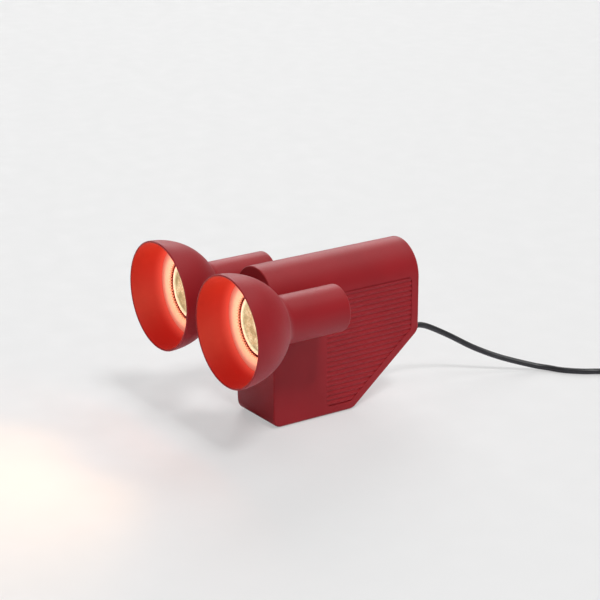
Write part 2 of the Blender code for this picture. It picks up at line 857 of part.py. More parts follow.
def bulb_ring():
    """The ring round the bulb: notched at its hole for air, crowned, and seated on the bell."""
    hole = bulb_radius + ring_gap
    front = bulb_y - ring_rise
    seat = front + ring_fall
    face = [(hole, bulb_y - ring_lip), (ring_crown_radius, front),
            (bell_radius(seat, shade_wall) - gap * 2, seat)]
    back = [(radius, y + ring_thickness) for radius, y in face]
    back[-1] = (bell_radius(seat + ring_thickness, shade_wall) - gap * 2, seat + ring_thickness)
    bm = lathe(face + back[::-1], ring_notch_count, "Y", True)
    return cut(bm, notch_tool(hole, front))


def notch_tool(hole, front):
    """A toothed cutter, one tooth for each notch."""
    pitch = 2 * math.pi / ring_notch_count
    outline = []
    for notch in range(ring_notch_count):
        middle = (notch + 0.5) * pitch
        half = pitch * ring_notch_share / 2
        for angle, radius in ((middle - half, hole - ring_notch_depth),
                              (middle - half, hole + ring_notch_depth),
                              (middle + half, hole + ring_notch_depth),
                              (middle + half, hole - ring_notch_depth)):
            outline.append(Vector((radius * math.cos(angle), front - overrun,
                                   radius * math.sin(angle))))
    return prism(outline, (0, ring_rise + ring_thickness + 2 * overrun, 0))


def holder_front_y():
    """The holder's face, just behind the bulb's base."""
    return bulb_y + bulb_length + gap


def holder_half_height():
    """The holder fills the bore from top to bottom, less room for its strap."""
    reach = math.sqrt((tube_bore - gap) ** 2 - (strap_width / 2) ** 2)
    return reach - strap_thickness - 2 * gap


def lamp_holder():
    """The ceramic holder, with a slot for each pin."""
    half = holder_half_height()
    front = holder_front_y()
    low = (-holder_width / 2, front, -half)
    high = (holder_width / 2, front + holder_length, half)
    body = round_corners(box(low, high), 1, holder_chamfer, 1)
    tools = [bulb_pin(side, gap) for side in (-1, 1)]
    back = front + holder_length
    tools.append(rod(screw_radius + gap, back - holder_screw_length, back + overrun, "Y"))
    return cut(body, *tools)


def holder_strap():
    """The sprung steel strap that grips the tube and carries the holder."""
    back = holder_front_y() + holder_length + gap
    outer = holder_half_height() + gap + strap_thickness
    inner = outer - strap_thickness
    half = strap_width / 2
    places = [(-outer, back - strap_tab_length), (-inner, back - strap_tab_length),
              (-inner, back), (inner, back), (inner, back - strap_tab_length),
              (outer, back - strap_tab_length), (outer, back + strap_thickness),
              (-outer, back + strap_thickness)]
    strap = prism([Vector((-half, y, z)) for z, y in places], (strap_width, 0, 0))
    hole = rod(screw_radius + gap, back - overrun, back + strap_thickness + overrun, "Y")
    return cut(strap, hole)


def holder_screw():
    """The pan-headed screw that joins strap and holder."""
    seat = holder_front_y() + holder_length + gap + strap_thickness + gap
    tip = seat - strap_thickness - holder_screw_length + 2 * gap
    top = seat + screw_head_height
    shape = [(0, tip), (screw_radius, tip), (screw_radius, seat), (screw_head_radius, seat),
             (screw_head_radius, top), (0, top)]
    return lathe(shape, small_steps, "Y")


def smooth_points(route, diameter):
    """Points along a smooth curve through a route, with a straight step at each end."""
    route = [Vector(point) for point in route]
    ends = [2 * route[0] - route[1]] + route + [2 * route[-1] - route[-2]]
    fine = []
    for a, b, c, d in zip(ends, ends[1:], ends[2:], ends[3:]):
        for step in range(fine_steps):
            t = step / fine_steps
            fine.append(0.5 * (2 * b + (c - a) * t + (2 * a - 5 * b + 4 * c - d) * t * t
                               + (3 * b - 3 * c + d - a) * t ** 3))
    fine.append(route[-1])
    total = run_length(fine)
    middle = total - 2 * diameter
    count = max(1, round(middle / (diameter * cord_point_share)))
    targets = [diameter + middle * step / count for step in range(count + 1)]
    points, walked = [fine[0]], 0.0
    for p, q in zip(fine, fine[1:]):
        length = (q - p).length
        while targets and walked + length >= targets[0]:
            points.append(p.lerp(q, (targets.pop(0) - walked) / length))
        walked += length
    return points + [fine[-1]]


def run_length(points):
    """How long a run of points is."""
    return sum((q - p).length for p, q in zip(points, points[1:]))


def tube_piece(name, points, diameter, material, place=None, resolution=3):
    """A round cord along points, closed at both ends."""
    curve = bpy.data.curves.new(name, "CURVE")
    curve.dimensions = "3D"
    curve.bevel_depth = diameter / 2
    curve.bevel_resolution = resolution
    curve.use_fill_caps = True
    spline = curve.splines.new("POLY")
    spline.points.add(len(points) - 1)
    for target, point in zip(spline.points, points):
        target.co = (*point, 1)
    curve.materials.append(material)
    piece = bpy.data.objects.new(name, curve)
    piece.parent = place
    bpy.context.scene.collection.objects.link(piece)
    return piece


def inner_cord_points():
    """From the gland's flange down to the terminal block."""
    start = Vector((0, gland_seat_y() - 2 * gap - gland_flange_thickness, gland_height))
    block_top = plate_top_z + 2 * gap + ballast_height + block_height
    end = Vector((0, block_centre_y() + block_length / 2 + gap, block_top - block_height / 2))
    back = Vector((0, cord_diameter, 0))
    return smooth_points([start, start - back, (start + end) / 2, end + back, end], cord_diameter)


def body_lead_points(side):
    """From the terminal block up to the pivot pipe and into its bore."""
    top = plate_top_z + 2 * gap + ballast_height + block_height
    start = Vector((side * block_width / 4, block_centre_y(), top + gap - block_screw_depth))
    pipe_end = nut_inner_x() - pipe_end_reach
    end = Vector((side * (pipe_end + lead_diameter), pivot_y, head_height))
    low = Vector((start.x, start.y, start.z + (end.z - start.z) / 3))
    high = Vector((side * lead_diameter, end.y, end.z - 4 * lead_diameter))
    turn = Vector((side * (pipe_end / 2), end.y, end.z - lead_diameter / 2))
    return smooth_points([start, start.lerp(low, 0.3), low, high, turn, end], lead_diameter)


def head_lead_points():
    """From the pipe's bore, past its flange, into the side of the holder."""
    start = Vector((-(tube_bore + flange_thickness), 0, 0))
    side_x = -holder_width / 2 - gap
    end = Vector((side_x, lead_diameter / 2, lead_diameter / 2))
    step = Vector((lead_diameter, 0, 0))
    return smooth_points([start, start + step, end - step, end], lead_diameter)


# The cord's route, chosen by hand: down to the floor behind the lamp, along it, and round to the switch.
cord_route = [
    (0.0, 124.5, 48.4), (0.0, 129.5, 48.0), (1.0, 138.8, 44.9), (4.4, 157.5, 34.6),
    (13.9, 178.6, 21.6), (26.4, 198.1, 12.5), (42.0, 221.8, 4.9), (51.1, 232.3, 3.0),
    (62.8, 240.5, 2.6), (74.2, 252.3, 2.6), (82.5, 264.7, 2.6), (90.5, 272.0, 2.8),
    (99.5, 276.3, 3.4), (109.5, 276.6, 4.4), (119.5, 272.3, 5.5), (128.6, 264.9, 6.3),
    (134.6, 259.3, 6.5),
]
switch_heading = -43.3 * degree


def run_points():
    """The free stretch from the gland to the switch."""
    route = [Vector(point) * mm for point in cord_route]
    route[0] = Vector((0, rear_y + gland_tip_reach + gap, gland_height))
    route[1] = route[0] + Vector((0, cord_diameter, 0))
    route[-1].z = switch_lower_height
    return smooth_points(route, cord_diameter)


def switch_place():
    """The middle of the switch on the floor, and the way along it."""
    entry = run_points()[-1]
    along = Vector((math.cos(switch_heading), math.sin(switch_heading), 0))
    middle = entry + along * (switch_length / 2 + gap)
    return Vector((middle.x, middle.y, 0)), along


def coil_frame():
    """The coil's start, its centre at floor level, and the ways along and outwards there."""
    middle, along = switch_place()
    out = Vector((-along.y, along.x, 0))
    start = middle + along * (switch_length / 2 + 2 * gap + link_length)
    return start, start + out * coil_outer_radius(), along, out


def coil_pitch():
    """From one turn to the next, beside it or above it."""
    return cord_diameter + coil_gap


def coil_turns():
    """All the turns, with the half turns in which the cord climbs a layer."""
    return coil_layer_count * coil_turns_per_layer + (coil_layer_count - 1) * coil_climb_turns


def coil_middle_radius():
    """The radius at the middle of the turns, which takes up what the free stretches leave."""
    free = run_length(run_points()) + switch_length + link_length + tail_length
    return (cord_length - free) / (2 * math.pi * coil_turns())


def coil_swing():
    """How far a spiral goes in from the outermost turn before it reverses."""
    return (coil_turns_per_layer + coil_climb_turns / 2) * coil_pitch()


def coil_outer_radius():
    """The radius of the first turn and of the last."""
    return coil_middle_radius() + coil_swing() / 2


def coil_layer_z(layer):
    """The height of a layer's centreline: the lowest lies on the tie."""
    return tie_thickness + gap + cord_diameter / 2 + layer * coil_pitch()


def coil_state(turn):
    """Radius and height at a count of turns: steady spirals that reverse halfway up a climb."""
    period = coil_turns_per_layer + coil_climb_turns
    since = turn + coil_climb_turns / 2
    away = since - 2 * period * math.floor(since / (2 * period))
    radius = coil_outer_radius() + (coil_climb_turns / 2 - min(away, 2 * period - away)) * coil_pitch()
    layer = min(int(turn / period), coil_layer_count - 1)
    climb = max(0.0, (turn - layer * period - coil_turns_per_layer) / coil_climb_turns)
    climb = min(climb, 1.0) if layer < coil_layer_count - 1 else 0.0
    smooth = climb * climb * (3 - 2 * climb)
    return radius, coil_layer_z(layer) + smooth * coil_pitch()


def coil_points():
    """One unbroken cord: a straight end, the turns in their layers, and a straight end."""
    start, centre, along, out = coil_frame()
    turns = coil_turns()
    count = round(turns * coil_turn_steps)
    points = []
    for step in range(count + 1):
        turn = turns * step / count
        radius, z = coil_state(turn)
        angle = 2 * math.pi * turn
        flat = centre + along * (radius * math.sin(angle)) - out * (radius * math.cos(angle))
        points.append(Vector((flat.x, flat.y, z)))
    straight = cord_diameter
    lead_in = points[0] - along * straight
    last_way = (points[-1] - points[-2]).normalized()
    last_way = Vector((last_way.x, last_way.y, 0)).normalized()
    return [lead_in] + points + [points[-1] + last_way * straight]


def least_gap(points, diameter):
    """The least clear space between stretches of a cord that are more than a bend apart."""
    least = body_length
    skip = coil_turn_steps // 2
    for i, p in enumerate(points):
        for j in range(i + skip, len(points) - 1):
            a, b = points[j], points[j + 1]
            edge = b - a
            t = max(0.0, min(1.0, (p - a).dot(edge) / edge.length_squared))
            least = min(least, (p - a.lerp(b, t)).length - diameter)
    return least


def link_points():
    """The short stretch from the switch to the coil."""
    middle, along = switch_place()
    start = middle + along * (switch_length / 2 + gap) + Vector((0, 0, switch_lower_height))
    end = coil_points()[0] - along * gap
    step = along * cord_diameter
    return smooth_points([start, start + step, end - step, end], cord_diameter)


def tail_points():
    """From the coil down to the plug, bending on the way the coil turns; and its last way."""
    end, before = coil_points()[-1], coil_points()[-2]
    way = (end - before).normalized()
    side = Vector((-way.y, way.x, 0))
    drop = end.z - plug_height / 2
    count = round(tail_length / cord_diameter)
    flat, heading = end + way * gap, way
    points = [flat.copy()]
    for step in range(1, count):
        share = min(max((step - 1) / (count - 3), 0.0), 1.0)
        angle = tail_turn * degree * share
        heading = way * math.cos(angle) + side * math.sin(angle)
        flat = flat + heading * (tail_length / (count - 1))
        fall = share * share * (3 - 2 * share)
        points.append(flat - Vector((0, 0, drop * fall)))
    return points, heading


def coil_tie():
    """A band round the bundle of turns, on the side away from both ends."""
    start, centre, along, out = coil_frame()
    slack = cord_diameter / 2 + 2 * gap
    inner = coil_outer_radius() - coil_swing() - slack
    outer = coil_outer_radius() + coil_climb_turns / 2 * coil_pitch() + slack
    top = coil_layer_z(coil_layer_count - 1) + slack
    half = tie_width / 2
    low = tie_thickness
    hole = box((inner, -half - overrun, low), (outer, half + overrun, top))
    skin = tie_thickness
    band = box((inner - skin, -half, 0), (outer + skin, half, top + skin))
    band = round_corners(band, 1, skin, rim_steps)
    bm = turned(cut(band, hole), math.atan2(along.y, along.x), "Z")
    return moved(bm, centre)


def switch_outline(z):
    """The switch seen from above: a block that narrows to the cord at both ends."""
    half, body, end = switch_length / 2, switch_width / 2, switch_end_width / 2
    shoulder = half - switch_end_length
    places = [(half, -end), (half, end), (shoulder, body), (-shoulder, body), (-half, end),
              (-half, -end), (-shoulder, -body), (shoulder, -body)]
    return [Vector((x, y, z)) for x, y in places]


def rocker_well(extra):
    """The space that the rocker swings in."""
    half_long = rocker_length / 2 + rocker_clearance + extra
    half_wide = rocker_width / 2 + gap + extra
    top = switch_lower_height + switch_upper_height + overrun
    return box((-half_long, -half_wide, rocker_floor_z()), (half_long, half_wide, top))


def rocker_axis_z():
    """The rocker's pin lies near the parting plane."""
    return switch_lower_height + gap + rocker_pin_radius + rocker_clearance


def rocker_floor_z():
    """The bottom of the well clears the rocker's lower corners."""
    return switch_lower_height / 3


def switch_lower():
    """The lower half of the switch housing."""
    bm = prism(switch_outline(0), (0, 0, switch_lower_height - gap / 2))
    rims = [e for e in bm.edges if e.calc_face_angle(0) > sharp_angle
            and max(v.co.z for v in e.verts) < gap]
    bm = round_all(bm, rims, switch_edge_radius, rim_steps)
    return cut(bm, rocker_well(0))


def switch_upper():
    """The upper half, with the window for the rocker and the slots for its pins."""
    bottom = switch_lower_height + gap / 2
    top = switch_lower_height + switch_upper_height
    bm = prism(switch_outline(bottom), (0, 0, top - bottom))
    rims = [e for e in bm.edges if e.calc_face_angle(0) > sharp_angle
            and min(v.co.z for v in e.verts) > top - gap]
    bm = round_all(bm, rims, switch_edge_radius, rim_steps)
    reach = rocker_width / 2 + rocker_pin_length + 2 * gap
    slot = rocker_pin_radius + gap
    pins = box((-slot, -reach, bottom - overrun), (slot, reach, rocker_axis_z() + slot))
    return cut(bm, rocker_well(0), pins)


def rocker():
    """The rocker about its own pin: a dished top on two ends, one pressed down."""
    half = rocker_length / 2
    top = switch_lower_height + switch_upper_height + rocker_rise - rocker_axis_z()
    foot = -(rocker_pin_radius + rocker_clearance / 2)
    outline = [Vector((-half, 0, foot + rocker_rise)), Vector((0, 0, foot)),
               Vector((half, 0, foot + rocker_rise))]
    for step in range(corner_steps * 2 + 1):
        x = (half - rocker_top_inset) * (1 - step / corner_steps)
        sag = rocker_radius * (1 - math.sqrt(1 - (x / rocker_radius) ** 2)) / 3
        outline.append(Vector((x, 0, top - rocker_rise + sag)))
    bm = prism([p + Vector((0, -rocker_width / 2, 0)) for p in outline], (0, rocker_width, 0))
    reach = rocker_width / 2 + rocker_pin_length
    return join(bm, rod(rocker_pin_radius, -reach, reach, "Y"))


def loft(sections):
    """A closed skin through outlines that have the same number of points."""
    bm = bmesh.new()
    rows = [[bm.verts.new(point) for point in section] for section in sections]
    for first, second in zip(rows, rows[1:]):
        for k in range(len(first)):
            after = (k + 1) % len(first)
            bm.faces.new((first[k], first[after], second[after], second[k]))
    bm.faces.new(rows[0])
    bm.faces.new(rows[-1])
    return finish(bm)


def plug_section(x, width_share, height_share, drawn_in=0.0):
    """The plug's six-sided outline at a place along it."""
    half = plug_width / 2 * width_share - drawn_in
    flat = plug_flat_width / 2 * width_share - drawn_in
    top = plug_height / 2 * height_share - drawn_in
    places = [(half, 0), (flat, top), (-flat, top), (-half, 0), (-flat, -top), (flat, -top)]
    return [Vector((x, y, z)) for y, z in places]


def plug_body():
    """The flat plug body, narrowed towards the cord."""
    sections = [plug_section(plug_length * place, wide, high)
                for place, wide, high in plug_size_shares]
    sections.append(plug_section(plug_length - plug_face_bevel, 1, 1))
    sections.append(plug_section(plug_length, 1, 1, plug_face_bevel))
    holes = [moved(rod(plug_pin_radius + plug_pin_sleeve_wall + gap,
                       plug_length - plug_pin_sleeve_length, plug_length + overrun, "X"),
                   (0, side * plug_pin_spacing / 2, 0)) for side in (-1, 1)]
    return cut(loft(sections), *holes)


def plug_pin():
    """One round pin, sleeved for half its length, from its root in the plug."""
    root = plug_length - plug_pin_sleeve_length + gap
    sleeve = plug_length + plug_pin_sleeve_length
    tip = plug_length + plug_pin_length
    thick = plug_pin_radius + plug_pin_sleeve_wall
    nose = plug_pin_radius / 2
    shape = [(0, root), (thick, root), (thick, sleeve), (plug_pin_radius, sleeve),
             (plug_pin_radius, tip - nose), (nose, tip), (0, tip)]
    return lathe(shape, small_steps, "X")


def clear_scene():
    """Start from an empty scene."""
    for item in list(bpy.data.objects):
        bpy.data.objects.remove(item)


def make_materials():
    """The lamp's finishes."""
    return {
        "red": make_material("red_paint", (0.33, 0.02, 0.028), 0.5),
        "rib": make_material("red_cover", (0.31, 0.018, 0.026), 0.48),
        "steel": make_material("steel", (0.55, 0.55, 0.56), 0.35, 1.0),
        "iron": make_material("iron", (0.12, 0.12, 0.13), 0.6, 0.8),
        "brass": make_material("brass", (0.72, 0.52, 0.22), 0.3, 1.0),
        "fibre": make_material("fibre", (0.05, 0.03, 0.025), 0.8),
        "rubber": make_material("black_rubber", (0.02, 0.02, 0.022), 0.7),
        "cord": make_material("black_cord", (0.025, 0.025, 0.028), 0.45),
        "nylon": make_material("white_nylon", (0.8, 0.8, 0.78), 0.5),
        "ceramic": make_material("ceramic", (0.85, 0.84, 0.8), 0.35),
        "bulb": make_material("bulb_shell", (0.9, 0.88, 0.82), 0.4),
        "cream": make_material("cream_plastic", (0.86, 0.74, 0.62), 0.5),
        "lens": make_material("bulb_lens", (1.0, 0.86, 0.55), 0.2, 0.0, 2.0),
        "black": make_material("black_plastic", (0.02, 0.02, 0.022), 0.4),
        "lead": make_material("lead_sleeve", (0.75, 0.75, 0.72), 0.6),
        "tie": make_material("tie", (0.03, 0.03, 0.032), 0.75),
    }


def build_body(finish_of):
    """The pieces that stand still, down to the base."""
    make_piece("body_housing", housing(), finish_of["red"])
    make_piece("side_cover_right", side_cover(), finish_of["rib"])
    make_piece("side_cover_left", mirrored(side_cover()), finish_of["rib"])
    make_piece("base_plate", base_plate(), finish_of["steel"])
    make_piece("base_pad", base_pad(), finish_of["rubber"])
    make_piece("ballast_weight", ballast(), finish_of["iron"])
    for number, spot in enumerate(screw_places(), 1):
        make_piece(f"base_screw_{number}", base_screw(), finish_of["steel"], location=spot)
    make_piece("terminal_block", terminal_block(), finish_of["nylon"])
    make_piece("cord_gland", cord_gland(), finish_of["rubber"])
    tube_piece("inner_cord", inner_cord_points(), cord_diameter, finish_of["cord"], None, 1)
    for name, side in (("right", 1), ("left", -1)):
        tube_piece(f"body_lead_{name}", body_lead_points(side), lead_diameter,
                   finish_of["lead"], None, 1)


def build_pivots(finish_of):
    """The washers that stay with the body."""
    for name, side in (("right", 1), ("left", -1)):
        for title, builder, finish_name in (("friction_washer", friction_washer, "fibre"),
                                            ("thrust_washer", thrust_washer, "steel"),
                                            ("spring_washer", spring_washer, "steel")):
            bm = builder() if side > 0 else mirrored(builder())
            make_piece(f"{title}_{name}", bm, finish_of[finish_name],
                       location=(0, pivot_y, head_height))


def build_head(name, side, finish_of):
    """One head, on an empty that lies on its pivot axis."""
    place = make_place(f"head_{name}_pivot", (side * head_offset, pivot_y, head_height))
    pieces = (("head_shell", head_shell, "red"), ("rear_cap", rear_cap, "red"),
              ("pivot_pipe", pivot_pipe, "brass"), ("pivot_nut", pivot_nut, "brass"),
              ("bulb_body", bulb_body, "bulb"), ("bulb_lens", bulb_lens, "lens"),
              ("bulb_ring", bulb_ring, "cream"), ("lamp_holder", lamp_holder, "ceramic"),
              ("holder_strap", holder_strap, "steel"), ("holder_screw", holder_screw, "steel"))
    for title, builder, finish_name in pieces:
        bm = builder() if side > 0 else mirrored(builder())
        make_piece(f"{title}_{name}", bm, finish_of[finish_name], place)
    points = [Vector((side * p.x, p.y, p.z)) for p in head_lead_points()]
    tube_piece(f"head_lead_{name}", points, lead_diameter, finish_of["lead"], place, 1)


def build_cord(finish_of):
    """The free cord with its coil and tie, its switch and its plug."""
    run, link, coil = run_points(), link_points(), coil_points()
    tail, way = tail_points()
    tube_piece("cord_run", run, cord_diameter, finish_of["cord"])
    tube_piece("cord_link", link, cord_diameter, finish_of["cord"], None, 2)
    tube_piece("cord_coil", coil, cord_diameter, finish_of["cord"], None, 1)
    tube_piece("cord_tail", tail, cord_diameter, finish_of["cord"], None, 2)
    make_piece("coil_tie", coil_tie(), finish_of["tie"])
    middle, along = switch_place()
    heading = math.atan2(along.y, along.x)
    place = make_place("switch_place", middle, heading)
    make_piece("switch_lower", switch_lower(), finish_of["black"], place)
    make_piece("switch_upper", switch_upper(), finish_of["black"], place)
    pivot = make_place("rocker_pivot", (0, 0, rocker_axis_z()))
    pivot.parent = place
    pivot.rotation_euler = (0, rocker_tilt * degree, 0)
    make_piece("switch_rocker", rocker(), finish_of["black"], pivot)
    end = tail[-1] + way * gap
    plug = make_place("plug_place", end, math.atan2(way.y, way.x))
    make_piece("plug_body", plug_body(), finish_of["black"], plug)
    for number, side in enumerate((-1, 1), 1):
        make_piece(f"plug_pin_{number}", plug_pin(), finish_of["steel"], plug,
                   (0, side * plug_pin_spacing / 2, 0))
    lengths = [run_length(points) for points in (run, link, coil, tail)]
    total = sum(lengths) + switch_length
    print("cord lengths in mm:", [round(length / mm) for length in lengths], "in all",
          round(total / mm), "of", round(cord_length / mm))
    print("least gap of the coil to itself in mm:", round(least_gap(coil, cord_diameter) / mm, 2))


def build_lamp():
    """Make every piece of the lamp."""
    clear_scene()
    finish_of = make_materials()
    build_body(finish_of)
    build_pivots(finish_of)
    for name, side in (("right", 1), ("left", -1)):
        build_head(name, side, finish_of)
    build_cord(finish_of)


build_lamp()
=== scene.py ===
# %% [markdown]
# # A table lamp with two tilting spot heads
#
# The lamp is a slim block with an arched top. Two spun metal heads hang on hollow threads
# beside it, so each one tilts by itself. The solid model already holds every piece at its true
# place. This lesson dresses it: smooth metal where the solids have flat facets, glass that
# glows, and paint that looks like paint.
#
# Every object here is in metres, with +Z up, and the heads shine towards -Y.

# %% Load the frame
import json
import math

import bmesh
import bpy
from mathutils import Matrix, Vector

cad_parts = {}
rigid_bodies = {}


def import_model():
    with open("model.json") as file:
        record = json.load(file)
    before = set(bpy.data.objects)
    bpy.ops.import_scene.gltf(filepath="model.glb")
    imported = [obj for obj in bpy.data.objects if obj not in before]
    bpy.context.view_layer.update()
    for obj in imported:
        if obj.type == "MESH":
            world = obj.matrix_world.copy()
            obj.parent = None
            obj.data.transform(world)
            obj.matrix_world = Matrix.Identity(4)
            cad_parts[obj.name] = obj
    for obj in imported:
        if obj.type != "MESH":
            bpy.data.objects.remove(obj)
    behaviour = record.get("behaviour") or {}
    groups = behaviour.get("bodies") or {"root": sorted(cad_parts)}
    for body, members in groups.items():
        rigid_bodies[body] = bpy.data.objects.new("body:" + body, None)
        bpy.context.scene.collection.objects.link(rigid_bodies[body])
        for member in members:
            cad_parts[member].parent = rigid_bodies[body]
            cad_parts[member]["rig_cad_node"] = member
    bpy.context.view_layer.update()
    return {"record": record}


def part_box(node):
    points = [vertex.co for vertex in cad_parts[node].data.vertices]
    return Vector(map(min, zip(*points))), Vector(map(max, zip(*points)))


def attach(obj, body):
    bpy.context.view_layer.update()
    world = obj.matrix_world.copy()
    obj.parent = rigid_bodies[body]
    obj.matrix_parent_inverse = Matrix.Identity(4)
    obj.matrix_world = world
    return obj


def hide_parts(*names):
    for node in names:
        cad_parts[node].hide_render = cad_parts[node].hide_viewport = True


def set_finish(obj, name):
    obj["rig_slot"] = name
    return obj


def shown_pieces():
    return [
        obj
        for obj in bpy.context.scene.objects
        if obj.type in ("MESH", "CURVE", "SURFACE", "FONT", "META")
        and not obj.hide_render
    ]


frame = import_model()
mm = 0.001


def add_object(name, data):
    """A new object in the scene."""
    thing = bpy.data.objects.new(name, data)
    bpy.context.scene.collection.objects.link(thing)
    return thing


# %% [markdown]
# ## The camera
#
# A product photograph is taken from far away with a long lens, so that parallel edges stay
# nearly parallel. The camera stands 1.6 m away, turned 56 degrees from the front and 19
# degrees above the table.

# %% Camera
def look_from(azimuth, elevation, distance, target):
    """A place and a rotation that look at a target from two angles and a distance."""
    a, e = math.radians(azimuth), math.radians(elevation)
    back = Vector((math.sin(a) * math.cos(e), -math.cos(a) * math.cos(e), math.sin(e)))
    return target + back * distance, (-back).to_track_quat("-Z", "Y")


view_azimuth, view_elevation, view_distance = 55.77, 19.07, 1632.5 * mm
view_target = Vector((-2.21, 6.61, 94.12)) * mm
lens_length, sensor_width = 119.565, 36
camera = add_object("camera", bpy.data.cameras.new("camera"))
camera.rotation_mode = "QUATERNION"
camera.location, camera.rotation_quaternion = look_from(
    view_azimuth, view_elevation, view_distance, view_target)
camera.data.sensor_width = sensor_width
camera.data.lens = lens_length
camera.data.clip_end = 20
bpy.context.scene.camera = camera
bpy.context.scene.view_settings.view_transform = "Standard"
print("camera at", tuple(round(v, 3) for v in camera.location))

# %% [markdown]
# ## The sizes
#
# The named sizes that the solids were made from are written here once, so that the smooth
# pieces land on them. A few rounds and the bell's depth were read again from the photograph
# afterwards and are a little finer here. A cutting shape reaches past what it cuts by the
# overcut.

# %% Sizes of the body and the heads
body_width, body_height, body_length = 55.6 * mm, 131.6 * mm, 145.4 * mm
base_length, slant_height, underside_lift = 78.3 * mm, 56.5 * mm, 0.6 * mm
rim_radius, foot_radius, slant_radius = 1.1 * mm, 2.4 * mm, 1.3 * mm
toe_radius, bend_radius = 7.5 * mm, 9.0 * mm
half_width = body_width / 2
front_y = -base_length / 2
rear_y = front_y + body_length
slant_start_y = front_y + base_length
spring_z = body_height - half_width
slant_way = Vector((0, rear_y - slant_start_y, slant_height - underside_lift)).normalized()
slant_normal = Vector((0, slant_way.z, -slant_way.y))
wall, gap, overcut = 4.4 * mm, 0.3 * mm, 4 * mm
head_offset, head_height = 51.9 * mm, 103.4 * mm
pivot_setback = 20.4 * mm
pivot_y = front_y + pivot_setback
seat_height, seat_radius, pipe_hole = 0.5 * mm, 8.5 * mm, 5.3 * mm
washer_radius, washer_thickness = 7.8 * mm, 0.8 * mm
rim_y, tail_y = -79.9 * mm, 24.3 * mm
tube_radius, tube_wall = 19.5 * mm, 1.5 * mm
shade_radius, shade_depth, shade_wall = 45.6 * mm, 51.5 * mm, 1.6 * mm
bulb_y, bulb_radius = -51.1 * mm, 25.0 * mm
gland_height = 48.4 * mm
bulb_length, bulb_base_radius = 46 * mm, 12.5 * mm
cord_width = 5.0 * mm
print("body", body_width, body_length, body_height, "head axis", head_offset, head_height)

# %% [markdown]
# ## The cord
#
# The cord comes first, because its length decides how much floor the lamp needs. Only the
# first stretch shows: it leaves the back of the body, drops to the table in a long slope and
# runs out of the picture. The rest of its 1.8 m is put away as a neat coil outside the view,
# after a switch, and ends in a plug. The whole cord is one curve. Its centreline follows the
# route of the solids.

# %% The route from the lamp to the switch
route_points = [
    (0.0, 124.3, 48.4), (0.0, 129.3, 48.4), (1.0, 138.8, 44.9), (4.4, 157.5, 34.6),
    (13.9, 178.6, 21.6), (26.4, 198.1, 12.5), (42.0, 221.8, 4.9), (51.1, 232.3, 3.0),
    (62.8, 240.5, 2.6), (74.2, 252.3, 2.6), (82.5, 264.7, 2.6), (90.5, 272.0, 2.8),
    (99.5, 276.3, 3.4), (109.5, 276.6, 4.4), (119.5, 272.3, 5.5), (128.6, 264.9, 6.3),
    (134.6, 259.3, 6.5),
]


def smooth_route(route, steps=12):
    """A Catmull-Rom curve through a route's points."""
    ends = [2 * route[0] - route[1]] + route + [2 * route[-1] - route[-2]]
    points = []
    for a, b, c, d in zip(ends, ends[1:], ends[2:], ends[3:]):
        for step in range(steps):
            t = step / steps
            points.append(0.5 * (2 * b + (c - a) * t + (2 * a - 5 * b + 4 * c - d) * t * t
                                 + (3 * b - 3 * c + d - a) * t ** 3))
    return points + [route[-1]]


def run_length(points):
    """How long a line through points is."""
    return sum((q - p).length for p, q in zip(points, points[1:]))


run = smooth_route([Vector(p) * mm for p in route_points])
print("visible run and turn:", round(run_length(run) / mm), "mm")

# %% The coil and the tail
cord_length, switch_length = 1.8, 56.0 * mm
link_length, tail_length = 21.0 * mm, 56.0 * mm
heading, tie_skin = math.radians(-43.3), 0.8 * mm
along = Vector((math.cos(heading), math.sin(heading), 0))
out = Vector((-along.y, along.x, 0))
coil_layers, layer_turns, climb_turns = 4, 1.75, 0.5
coil_turns = coil_layers * layer_turns + (coil_layers - 1) * climb_turns
coil_slack = 0.8 * mm
coil_pitch = cord_width + coil_slack
used = run_length(run) + switch_length + link_length + tail_length
coil_radius = (cord_length - used) / (2 * math.pi * coil_turns)
coil_swing = (layer_turns + climb_turns / 2) * coil_pitch
coil_outer = coil_radius + coil_swing / 2
coil_start = run[-1] + along * (switch_length + 3 * gap + link_length)
coil_start.z = 0
coil_centre = coil_start + out * coil_outer
coil_floor = tie_skin + gap + cord_width / 2


def coil_place(turn):
    """Radius and height after some turns: the spiral reverses halfway up each climb."""
    period = layer_turns + climb_turns
    since = (turn + climb_turns / 2) % (2 * period)
    radius = coil_outer + (climb_turns / 2 - min(since, 2 * period - since)) * coil_pitch
    layer = min(int(turn / period), coil_layers - 1)
    climb = 0.0
    if layer < coil_layers - 1:
        climb = min(max((turn - layer * period - layer_turns) / climb_turns, 0.0), 1.0)
    return radius, coil_floor + (layer + climb * climb * (3 - 2 * climb)) * coil_pitch


coil = []
coil_points_per_turn = 48
for step in range(round(coil_turns * coil_points_per_turn) + 1):
    turn = step / coil_points_per_turn
    radius, height = coil_place(turn)
    angle = 2 * math.pi * turn
    spot = coil_centre + along * radius * math.sin(angle) - out * radius * math.cos(angle)
    coil.append(Vector((spot.x, spot.y, height)))
coil_way = coil[-1] - coil[-2]
coil_way = Vector((coil_way.x, coil_way.y, 0)).normalized()
coil = [coil[0] - along * cord_width] + coil + [coil[-1] + coil_way * cord_width]

